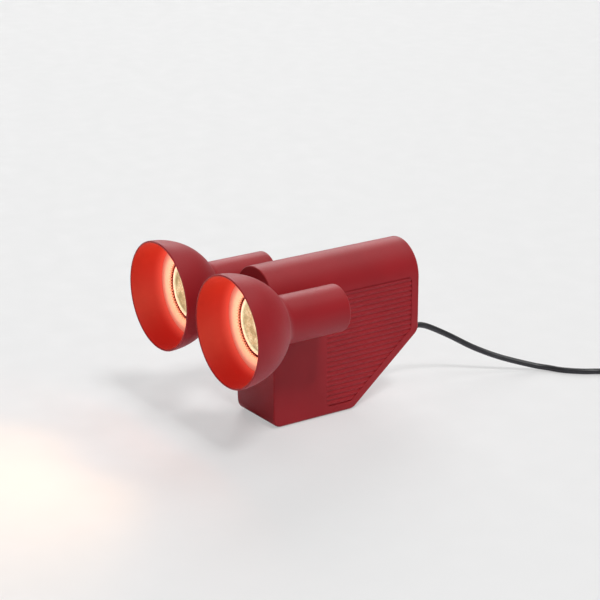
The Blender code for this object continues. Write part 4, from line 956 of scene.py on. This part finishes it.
def plug_shape():
    """The flat plug: a loft of six-sided sections, rounded, with two holes in its face."""
    sections = []
    for place, wide, high in ((0.0, 0.34, 0.72), (0.18, 0.42, 0.78), (0.42, 0.9, 1.0),
                              (0.55, 1.0, 1.0), (1.0, 1.0, 1.0)):
        half, flat, top = plug_width / 2 * wide, plug_flat / 2 * wide, plug_height / 2 * high
        sections.append([(plug_length * place, y, z)
                         for y, z in ((half, 0), (flat, top), (-flat, top), (-half, 0),
                                      (-flat, -top), (flat, -top))])
    bm = loft(sections)
    face_edges = [e for e in bm.edges if all(v.co.x > plug_length - gap for v in e.verts)]
    soft_rims(bm, face_edges, 1.2 * mm, 5)
    ridges = [e for e in bm.edges if math.radians(25) < e.calc_face_angle(0)
              and e.calc_length() > 4 * mm and max(v.co.x for v in e.verts) < plug_length - gap]
    soft_rims(bm, ridges, 0.8 * mm, 3)
    for side in (-1, 1):
        bm = carve(bm, bar(prong_radius + gap, plug_length - prong_root, plug_length + overcut,
                           (0, side * prong_offset, 0), 32))
    return bm


def plug_prong(side):
    """A round pin with a sleeved root and a domed nose."""
    root, tip, nose = plug_length - prong_root + gap, plug_length + 19 * mm, 1.0 * mm
    sleeve = plug_length + 10 * mm
    profile = [(0, root), (prong_radius, root), (prong_radius, sleeve), (2.0 * mm, sleeve)]
    profile += arc((nose, tip - nose), nose, 0, 90, 6) + [(0, tip)]
    prong = turned(turn_profile(profile, 32), -quarter_turn, "Z")
    return moved(prong, (0, side * prong_offset, 0))


new_piece("plug_shell", on_cord(plug_shape(), plug_end, tail_way), "body", "black_plastic",
          "plug_body")
for number, side in ((1, -1), (2, 1)):
    new_piece(f"plug_prong_{number}", on_cord(plug_prong(side), plug_end, tail_way), "body",
              "steel", f"plug_pin_{number}")

# %% Where the cord leaves
print("the cord leaves at", tuple(round(v / mm, 1) for v in centreline[0]), "mm")

# %% [markdown]
# ## Finishes
#
# A finish is never one flat colour. Powder paint has a broad, faint mottle, a fine orange peel
# and a painted highlight, a paler tint, along its rounded edges. So each piece first gets an
# attribute that says where its rounded edges are: a vertex on a small rounding has an edge that
# turns by some 12 to 40 degrees, while a flat or gently curved wall turns less, and a crisp cut
# turns more.

# %% Marking the rounded edges
def mark_edges(piece):
    """Store 1 on the vertices of small outward roundings, 0 elsewhere."""
    bm = bmesh.new()
    bm.from_mesh(piece.data)
    values = []
    for vert in bm.verts:
        turns = [e.calc_face_angle_signed(0) for e in vert.link_edges]
        rounded = any(math.radians(12) < turn < math.radians(40) for turn in turns)
        values.append(1.0 if rounded else 0.0)
    bm.free()
    attribute = piece.data.attributes.new("worn", "FLOAT", "POINT")
    attribute.data.foreach_set("value", values)


made = [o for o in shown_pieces() if o.type == "MESH" and "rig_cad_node" not in o]
for piece in made:
    mark_edges(piece)
print("edges marked on", len(made), "pieces")

# %% [markdown]
# The nodes come in a few small functions: one makes the material, one lays a noise over it,
# one mixes two colours and one adds a bump. Nearly every pattern reads Object coordinates in
# metres, so a scale of 1000 gives a grain of about a millimetre.

# %% Node helpers
class Finish:
    """A Principled material and short ways to wire it."""

    def __init__(self, name, color, roughness, metallic=0.0):
        self.material = bpy.data.materials.new(name)
        self.material.use_nodes = True
        self.tree = self.material.node_tree
        self.shader = self.tree.nodes["Principled BSDF"]
        self.shader.inputs["Base Color"].default_value = (*color, 1)
        self.shader.inputs["Roughness"].default_value = roughness
        self.shader.inputs["Metallic"].default_value = metallic
        self.material.diffuse_color = (*color, 1)
        self.coordinates = self.add("ShaderNodeTexCoord").outputs["Object"]

    def add(self, kind, **settings):
        """A node with its settings."""
        node = self.tree.nodes.new(kind)
        for key, value in settings.items():
            setattr(node, key, value)
        return node

    def link(self, out_socket, in_socket):
        """Join two sockets."""
        self.tree.links.new(out_socket, in_socket)

    def noise(self, scale, detail=2.0, roughness=0.5, stretch=None, source=None):
        """A noise from 0 to 1 over Object coordinates or another source."""
        node = self.add("ShaderNodeTexNoise")
        for key, number in (("Scale", scale), ("Detail", detail), ("Roughness", roughness)):
            node.inputs[key].default_value = number
        place = self.coordinates if source is None else source
        if stretch:
            mapping = self.add("ShaderNodeMapping")
            mapping.inputs["Scale"].default_value = stretch
            self.link(place, mapping.inputs["Vector"])
            place = mapping.outputs["Vector"]
        self.link(place, node.inputs["Vector"])
        return node.outputs["Fac"]

    def ramp(self, value, low, high, out_low=0.0, out_high=1.0):
        """Map a stretch of a value to another stretch."""
        node = self.add("ShaderNodeMapRange")
        for key, number in (("From Min", low), ("From Max", high), ("To Min", out_low),
                            ("To Max", out_high)):
            node.inputs[key].default_value = number
        self.link(value, node.inputs["Value"])
        return node.outputs["Result"]

    def math(self, operation, first, second=0.0):
        """One step of arithmetic between two values or numbers."""
        node = self.add("ShaderNodeMath", operation=operation)
        for socket, value in zip(node.inputs, (first, second)):
            if isinstance(value, (int, float)):
                socket.default_value = value
            else:
                self.link(value, socket)
        return node.outputs["Value"]

    def blend(self, share, first, second):
        """Mix two colours, each a socket or three numbers, by a value."""
        node = self.add("ShaderNodeMix", data_type="RGBA")
        self.link(share, node.inputs["Factor"])
        for socket, value in ((node.inputs[6], first), (node.inputs[7], second)):
            if isinstance(value, tuple):
                socket.default_value = (*value, 1)
            else:
                self.link(value, socket)
        return node.outputs[2]

    # This edge mask carries the paint's painted highlight and the plastic's real polish.
    def worn(self):
        """The rounded edges, softened and broken up by a noise."""
        edge = self.add("ShaderNodeAttribute", attribute_name="worn").outputs["Fac"]
        return self.math("MULTIPLY", edge, self.ramp(self.noise(260, 4), 0.35, 0.65))

    def part(self, axis):
        """One of the three Object coordinates."""
        node = self.add("ShaderNodeSeparateXYZ")
        self.link(self.coordinates, node.inputs["Vector"])
        return node.outputs[axis]

    def from_axis(self):
        """How far a point lies beside, above and away from its own head's axis."""
        beside = self.math("SUBTRACT", self.math("ABSOLUTE", self.part("X")), head_offset)
        above = self.math("SUBTRACT", self.part("Z"), head_height)
        square = self.math("ADD", self.math("MULTIPLY", beside, beside),
                           self.math("MULTIPLY", above, above))
        return beside, above, self.math("SQRT", square)

    def tones(self, share, color, dark, light):
        """Base colour between a darker and a lighter shade of one colour."""
        self.set("Base Color", self.blend(share, shade(color, dark), shade(color, light)))

    def dulling(self, pattern, low, high, least, most):
        """Roughness that follows a stretch of a pattern."""
        self.set("Roughness", self.ramp(pattern, low, high, least, most))

    def bump(self, height, strength, distance):
        """Feed a height into the shader's normal."""
        node = self.add("ShaderNodeBump")
        node.inputs["Strength"].default_value = strength
        node.inputs["Distance"].default_value = distance
        self.link(height, node.inputs["Height"])
        self.link(node.outputs["Normal"], self.shader.inputs["Normal"])

    def set(self, socket, value):
        """Set a socket to a number or link a value to it."""
        if isinstance(value, (int, float, tuple)):
            self.shader.inputs[socket].default_value = value
        else:
            self.link(value, self.shader.inputs[socket])


def shade(color, factor):
    """A colour made lighter or darker."""
    return tuple(min(1.0, channel * factor) for channel in color)


print("a finish knows:", [key for key in vars(Finish) if not key.startswith("_")])

# %% [markdown]
# ### Red paint
#
# The lamp is sprayed in one satin red. The body and the heads have a fine powder texture; the
# ribbed covers are moulded and a little smoother. A trace of sheen gives the pale bloom that a
# powder coat shows where it is seen at a low angle. On the shade's inner wall the colour holds
# painted light: a deeper red for light that bounces between its walls, painted shade towards
# the bottom, orange towards the top, and a painted glow beside the bulb. The rings are cream,
# with painted shade in their notches and at their hole and a painted glow, and pass into the
# painted red at the shade's wall.

# %% Red paint
def powder_paint(name, color, roughness, peel):
    """Satin powder paint: mottled, softly pitted, with a painted highlight that makes its edges
    paler.
    """
    paint = Finish(name, color, roughness)
    mottle = paint.ramp(paint.noise(22, 3), 0.3, 0.7)
    tone = paint.blend(mottle, shade(color, 0.92), shade(color, 1.08))
    # Painted highlight: the rounded edges are tinted paler, as if light catches them.
    edge_highlight = paint.math("MULTIPLY", paint.worn(), 0.28)
    highlight_tint = (color[0] * 1.25, color[1] * 3.2 + 0.02, color[2] * 3.2 + 0.02)
    paint.set("Base Color", paint.blend(edge_highlight, tone, highlight_tint))
    paint.dulling(paint.noise(900, 2), 0.25, 0.75, roughness - 0.05, roughness + 0.07)
    grain = paint.noise(2600, 3, 0.6)
    waves = paint.noise(420, 1)
    paint.bump(paint.math("ADD", grain, waves), peel, 0.02 * mm)
    for socket, value in (("Sheen Weight", 0.11), ("Sheen Roughness", 0.45),
                          ("Sheen Tint", (1.0, 0.86, 0.88, 1)), ("Specular IOR Level", 0.28)):
        paint.set(socket, value)
    return paint


# Painted light inside the shade: the deeper reds stand in for light bouncing between its red
# walls, darker low and brighter high, and the glow red for the bulb's spill.
painted_bounce_red, painted_glow_red = (0.330, 0.0055, 0.0060), (1.0, 0.17, 0.11)
painted_shade_red, painted_light_red = (0.250, 0.0010, 0.0008), (0.345, 0.0230, 0.0070)


def lit_shade(name, color, roughness, peel):
    """The same paint; on the shade's inner wall it holds painted light: a deeper red, darker low
    and orange high, and a painted glow beside the bulb.
    """
    paint = powder_paint(name, color, roughness, peel)
    tone = paint.shader.inputs["Base Color"].links[0].from_socket
    inner = paint.add("ShaderNodeAttribute", attribute_name="inner_wall").outputs["Fac"]
    # Painted shade and light: darker red at the bottom of the inner wall, orange-red at the top.
    rise = paint.ramp(paint.part("Z"), head_height - 34 * mm, head_height + 38 * mm)
    painted_shade_to_light = paint.blend(paint.math("POWER", rise, 1.8), painted_shade_red, painted_light_red)
    paint.set("Base Color", paint.blend(inner, tone, painted_shade_to_light))
    # Painted glow: the inner wall gives off red light just in front of the ring, beside the bulb.
    lens_y = pivot_y + bulb_y
    near = paint.ramp(paint.part("Y"), lens_y - 11 * mm, lens_y - 2.9 * mm)
    ahead = paint.ramp(paint.part("Y"), lens_y - 2.4 * mm, lens_y - 1.8 * mm, 1.0, 0.0)
    glow = paint.math("MULTIPLY", paint.math("POWER", near, 2.0), 0.34)
    paint.set("Emission Color", (*painted_glow_red, 1))
    paint.set("Emission Strength",
              paint.math("MULTIPLY", paint.math("MULTIPLY", inner, ahead), glow))
    return paint


def lit_ring(name, color):
    """Cream plastic beside the bulb with a painted glow and painted shade in its notches, passing
    into painted red towards the shade's wall.
    """
    ring = Finish(name, color, 0.5)
    beside, above, reach = ring.from_axis()
    fade = ring.ramp(reach, 31.0 * mm, 38.0 * mm)
    # Painted shade: the notches and the lip of the hole are darkened where shade falls.
    turn = ring.math("MULTIPLY", ring.math("ARCTAN2", beside, above),
                     notch_count / (2 * math.pi))
    stray = ring.math("ABSOLUTE", ring.math("SUBTRACT", turn, ring.math("ROUND", turn)))
    slot = ring.math("MULTIPLY", ring.ramp(stray, 0.16, 0.26, 1.0, 0.0),
                     ring.ramp(reach, notch_end - 1.0 * mm, notch_end, 0.55, 0.0))
    edge = ring.ramp(reach, ring_hole + 0.1 * mm, ring_hole + 0.4 * mm, 1.0, 0.0)
    notch_shade = ring.math("MAXIMUM", slot, edge)
    mottle = ring.ramp(ring.noise(300, 3), 0.3, 0.7)
    cream = ring.blend(mottle, shade(color, 0.9), shade(color, 1.05))
    cream_with_notch_shade = ring.blend(notch_shade, cream, (0.10, 0.035, 0.016))
    # Towards the wall the ring takes the painted bounce red of the shade.
    ring.set("Base Color", ring.blend(fade, cream_with_notch_shade, painted_bounce_red))
    # Painted glow: the ring gives off warm light as if lit by the bulb, red towards the wall, and
    # none in its shaded notches.
    ring.set("Emission Color", ring.blend(fade, (1.0, 0.60, 0.42), painted_glow_red))
    ring.set("Emission Strength", ring.math("MULTIPLY", ring.ramp(fade, 0.0, 1.0, 0.35, 0.46),
                                            ring.ramp(notch_shade, 0.0, 1.0, 1.0, 0.0)))
    ring.dulling(ring.noise(900, 2), 0.25, 0.75, 0.42, 0.56)
    ring.bump(ring.noise(2600, 3, 0.6), 0.3, 0.02 * mm)
    return ring.material


paint_red = (0.336, 0.0085, 0.0135)
finishes = {
    "red_paint": lit_shade("red_paint", paint_red, 0.50, 0.5).material,
    "red_cover": powder_paint("red_cover", paint_red, 0.46, 0.3).material,
    "cream_plastic": lit_ring("cream_plastic", (0.75, 0.42, 0.30)),
}
print("finishes:", *finishes)

# %% [markdown]
# ### Metals
#
# The plated steel has a fine brushed grain, iron a sand-cast skin, and the brass thread shows
# the warm spread of tones that handled brass has.

# %% Metals
def brushed_metal(name, color, roughness, stretch):
    """Plated metal with a grain that runs one way."""
    metal = Finish(name, color, roughness, 1.0)
    grain = metal.noise(300, 4, 0.6, stretch)
    metal.tones(metal.ramp(metal.noise(60, 3), 0.3, 0.7), color, 0.88, 1.08)
    metal.dulling(grain, 0.3, 0.7, roughness - 0.08, roughness + 0.12)
    metal.bump(grain, 0.25, 0.02 * mm)
    return metal.material


def cast_iron(name, color, roughness):
    """Sand-cast iron: a rough skin with darker pits."""
    iron = Finish(name, color, roughness, 0.8)
    skin = iron.noise(700, 6, 0.65)
    iron.tones(iron.ramp(skin, 0.35, 0.65), color, 0.6, 1.3)
    iron.dulling(skin, 0.3, 0.7, roughness, roughness + 0.2)
    iron.bump(skin, 0.6, 0.15 * mm)
    return iron.material


finishes["steel"] = brushed_metal("steel", (0.56, 0.56, 0.57), 0.33, (1, 1, 14))
finishes["brass"] = brushed_metal("brass", (0.74, 0.53, 0.23), 0.3, (14, 1, 1))
finishes["iron"] = cast_iron("iron", (0.12, 0.12, 0.13), 0.6)
print("finishes:", *finishes)

# %% [markdown]
# ### Plastics, rubber, fibre and ceramic
#
# Moulded plastic copies the spark-eroded texture of its mould, so it is a field of tiny
# pits. Rubber is duller and picks up dust. Vulcanised fibre shows its strands, and the
# ceramic of the lampholders has a hard glaze over faint specks.

# %% Moulded and soft materials
def moulded(name, color, roughness, grain_scale, depth):
    """Moulded plastic with an eroded texture and slightly polished edges."""
    plastic = Finish(name, color, roughness)
    grain = plastic.noise(grain_scale, 3, 0.6)
    dust = plastic.ramp(plastic.noise(35, 4), 0.45, 0.8, 0.0, 0.35)
    plastic.tones(dust, color, 1.0, 1.5)
    polished = plastic.math("MULTIPLY", plastic.worn(), -0.12)
    rough = plastic.ramp(grain, 0.25, 0.75, roughness - 0.05, roughness + 0.08)
    plastic.set("Roughness", plastic.math("ADD", rough, polished))
    plastic.bump(grain, 0.4, depth)
    return plastic.material


def pressed_fibre(name, color):
    """Vulcanised fibre: dark, dull, with strands."""
    fibre = Finish(name, color, 0.8)
    strands = fibre.noise(900, 5, 0.7, (1, 6, 1))
    fibre.tones(strands, color, 0.7, 1.6)
    fibre.dulling(strands, 0.3, 0.7, 0.72, 0.9)
    fibre.bump(strands, 0.5, 0.04 * mm)
    return fibre.material


def glazed(name, color):
    """Ceramic: specks under a thin hard glaze."""
    clay = Finish(name, color, 0.35)
    clay.tones(clay.ramp(clay.noise(1500, 2), 0.62, 0.7), color, 1.0, 0.72)
    clay.dulling(clay.noise(200, 3), 0.3, 0.7, 0.25, 0.42)
    clay.bump(clay.noise(500, 2), 0.2, 0.05 * mm)
    clay.set("Coat Weight", 0.35)
    return clay.material


finishes["black_rubber"] = moulded("black_rubber", (0.022, 0.022, 0.024), 0.62, 1800, 0.03 * mm)
finishes["black_plastic"] = moulded("black_plastic", (0.020, 0.020, 0.022), 0.40, 2400, 0.02 * mm)
finishes["white_nylon"] = moulded("white_nylon", (0.78, 0.78, 0.75), 0.45, 1500, 0.02 * mm)
finishes["lead_sleeve"] = moulded("lead_sleeve", (0.72, 0.71, 0.66), 0.55, 900, 0.03 * mm)
finishes["fibre"] = pressed_fibre("fibre", (0.055, 0.030, 0.024))
finishes["ceramic"] = glazed("ceramic", (0.84, 0.83, 0.79))
print("finishes:", *finishes)

# %% [markdown]
# ### Cord and tie
#
# The cord has a smooth plastic jacket that is drawn through a die: it has fine lengthwise
# lines, a soft highlight, and faint darker scuffs. A curve's UV map runs along its length, so
# the lines follow every bend. The tie is a woven hook-and-loop band.

# %% Cord jacket and woven tie
def jacket(name, color):
    """A drawn plastic jacket with lengthwise lines."""
    cord = Finish(name, color, 0.42)
    lengthwise = cord.add("ShaderNodeTexCoord").outputs["UV"]
    lines = cord.noise(1.0, 3, 0.5, (60, 90, 1), lengthwise)
    scuffs = cord.ramp(cord.noise(90, 5, 0.6), 0.5, 0.75)
    cord.tones(scuffs, color, 1.0, 1.9)
    cord.dulling(scuffs, 0.0, 1.0, 0.38, 0.55)
    cord.bump(cord.math("ADD", lines, cord.noise(1500, 2)), 0.2, 0.03 * mm)
    return cord.material


def woven(name, color):
    """A band of crossing threads with loops that stand up from it."""
    band = Finish(name, color, 0.8)
    warp = band.add("ShaderNodeTexWave", bands_direction="Z")
    weft = band.add("ShaderNodeTexWave", bands_direction="Y")
    for wave in (warp, weft):
        wave.inputs["Scale"].default_value = 420
        wave.inputs["Distortion"].default_value = 1.2
        band.link(band.coordinates, wave.inputs["Vector"])
    threads = band.math("MULTIPLY", warp.outputs["Fac"], weft.outputs["Fac"])
    fuzz = band.noise(2600, 4, 0.7)
    band.tones(threads, color, 0.55, 1.7)
    band.dulling(fuzz, 0.2, 0.8, 0.7, 0.92)
    band.bump(band.math("ADD", threads, fuzz), 0.7, 0.2 * mm)
    band.set("Sheen Weight", 0.3)
    return band.material


finishes["black_cord"] = jacket("black_cord", (0.022, 0.022, 0.024))
finishes["tie"] = woven("tie", (0.030, 0.030, 0.033))
print("finishes:", *finishes)

# %% [markdown]
# ### Bulb and lens
#
# The bulb's outside is a matt lacquer over its reflector. The lens glows: its core and its
# edge band are a bright pale yellow, its cells are creamy with darker bounds, and a slow
# noise leaves darker patches.

# %% Bulb lacquer and glowing lens
def glowing_lens(name):
    """Patterned glass lit from behind."""
    lens = Finish(name, (0.9, 0.82, 0.6), 0.22)
    cells = lens.add("ShaderNodeTexVoronoi", feature="F1")
    cells.inputs["Scale"].default_value = 560
    lens.link(lens.coordinates, cells.inputs["Vector"])
    spread = lens.ramp(cells.outputs["Distance"], 0.05, 0.75)
    patch = lens.ramp(lens.noise(110, 3), 0.36, 0.56)
    glow = lens.blend(spread, (1.0, 0.84, 0.52), (0.66, 0.43, 0.22))
    tone = lens.blend(patch, (0.40, 0.31, 0.15), glow)
    reach = lens.from_axis()[2]
    core = lens.ramp(reach, 4.0 * mm, 9.0 * mm, 0.9, 0.0)
    band = lens.ramp(reach, 21.0 * mm, 22.2 * mm, 0.0, 0.9)
    tone = lens.blend(lens.math("MAXIMUM", core, band), tone, (1.0, 0.87, 0.56))
    lens.set("Base Color", (0.02, 0.018, 0.012, 1))
    lens.set("Emission Color", tone)
    lens.set("Emission Strength", 0.95)
    lens.dulling(lens.noise(600, 3), 0.3, 0.7, 0.15, 0.3)
    lens.bump(spread, 0.3, 0.15 * mm)
    lens.set("Specular IOR Level", 0.2)
    return lens.material


finishes["bulb_lens"] = glowing_lens("bulb_lens")
finishes["bulb_shell"] = glazed("bulb_shell", (0.86, 0.84, 0.78))
print("finishes:", *finishes)

# %% Giving every piece its finish
slot_of_node = {part["node"]: part["material_slot"] for part in frame["record"]["subparts"]}
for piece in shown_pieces():
    slot_name = piece.get("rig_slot") or slot_of_node.get(piece.get("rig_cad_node"))
    piece.data.materials.clear()
    piece.data.materials.append(finishes[slot_name])
print("finishes:", sorted(finishes))

# %% [markdown]
# ## Floor and light
#
# The lamp stands on a wide pale sheet that runs out of the picture on all sides. The sheet
# looks darker and more even to the camera than to the light that it bounces. Three far soft
# boxes stand behind on the left, high behind, and high on the right, and the white room fills
# the shadows. Each head has its own warm lights: a small glow for the ring, and a beam that
# leaves a pool on the table. They hang on the lens, so that they tilt with the head.

# %% Floor and room
sheet = bmesh.new()
bmesh.ops.create_grid(sheet, x_segments=4, y_segments=4, size=8)
floor = add_object("table_sheet", as_mesh("table_sheet", sheet))
paper = Finish("pale_sheet", (0.80, 0.80, 0.805), 0.7)
paper.dulling(paper.noise(40, 3), 0.3, 0.7, 0.62, 0.8)
looking = paper.add("ShaderNodeLightPath").outputs["Is Camera Ray"]
paper.set("Base Color", paper.blend(looking, (0.88, 0.88, 0.95), (0.40, 0.40, 0.40)))
paper.set("Specular IOR Level", 0.10)
paper.set("Emission Color", (1.0, 1.0, 1.0, 1))
paper.set("Emission Strength", paper.math("MULTIPLY", looking, 0.415))
floor.data.materials.append(paper.material)

room_light, room_look = 0.20, 0.86
room = bpy.data.worlds.new("white_room")
room.use_nodes = True
bpy.context.scene.world = room
nodes, links = room.node_tree.nodes, room.node_tree.links
rays = nodes.new("ShaderNodeLightPath")
seen = nodes.new("ShaderNodeMath")
seen.operation = "MAXIMUM"
links.new(rays.outputs["Is Camera Ray"], seen.inputs[0])
links.new(rays.outputs["Is Transmission Ray"], seen.inputs[1])
strength = nodes.new("ShaderNodeMapRange")
strength.inputs["To Min"].default_value = room_light
strength.inputs["To Max"].default_value = room_look
links.new(seen.outputs["Value"], strength.inputs["Value"])
background = nodes["Background"]
background.inputs["Color"].default_value = (1.0, 1.0, 1.0, 1)
links.new(strength.outputs["Result"], background.inputs["Strength"])
print("floor:", tuple(round(v, 1) for v in floor.dimensions), "room:", room.name)

# %% Lights
def hang_light(name, kind, energy, color, place, aim, **settings):
    """A light at a place that points at another place."""
    data = bpy.data.lights.new(name, kind)
    data.energy, data.color = energy, color
    for key, value in settings.items():
        setattr(data, key, value)
    lamp = add_object(name, data)
    lamp.location = place
    lamp.rotation_mode = "QUATERNION"
    lamp.rotation_quaternion = (Vector(aim) - Vector(place)).to_track_quat("-Z", "Y")
    lamp.visible_camera = False
    return lamp


light_distance, middle = 1.6, Vector((0, 30 * mm, 60 * mm))
for name, energy, azimuth, elevation, spread in (("back_soft_box", 1.30, -120, 30, 35),
                                                 ("rear_soft_box", 0.70, 180, 58, 35),
                                                 ("side_soft_box", 1.52, 90, 60, 14)):
    place = look_from(azimuth, elevation, light_distance, middle)[0]
    hang_light(name, "SUN", energy, (1.0, 1.0, 1.0), place, middle, angle=math.radians(spread))

for side_name, side in sides:
    axis_x = side * head_offset
    lens_piece = bpy.data.objects[f"lens_plate_{side_name}"]
    for name, kind, energy, color, ahead, settings in (
            ("ring_glow", "POINT", 0.085, (1.0, 0.35, 0.2), 12.0 * mm,
             {"shadow_soft_size": 8 * mm}),
            ("beam", "SPOT", 1.9, (1.0, 0.515, 0.19), 6.0 * mm,
             {"shadow_soft_size": 12 * mm, "spot_size": math.radians(94), "spot_blend": 0.75})):
        start = Vector((axis_x, pivot_y + bulb_y - ahead, head_height))
        lamp = hang_light(f"{name}_{side_name}", kind, energy, color, start,
                          start - Vector((0, 1, 0)), **settings)
        lamp.parent = lens_piece

# %% [markdown] ## The last step The view layer is brought up to date.

# %% Bring the view layer up to date
bpy.context.view_layer.update()
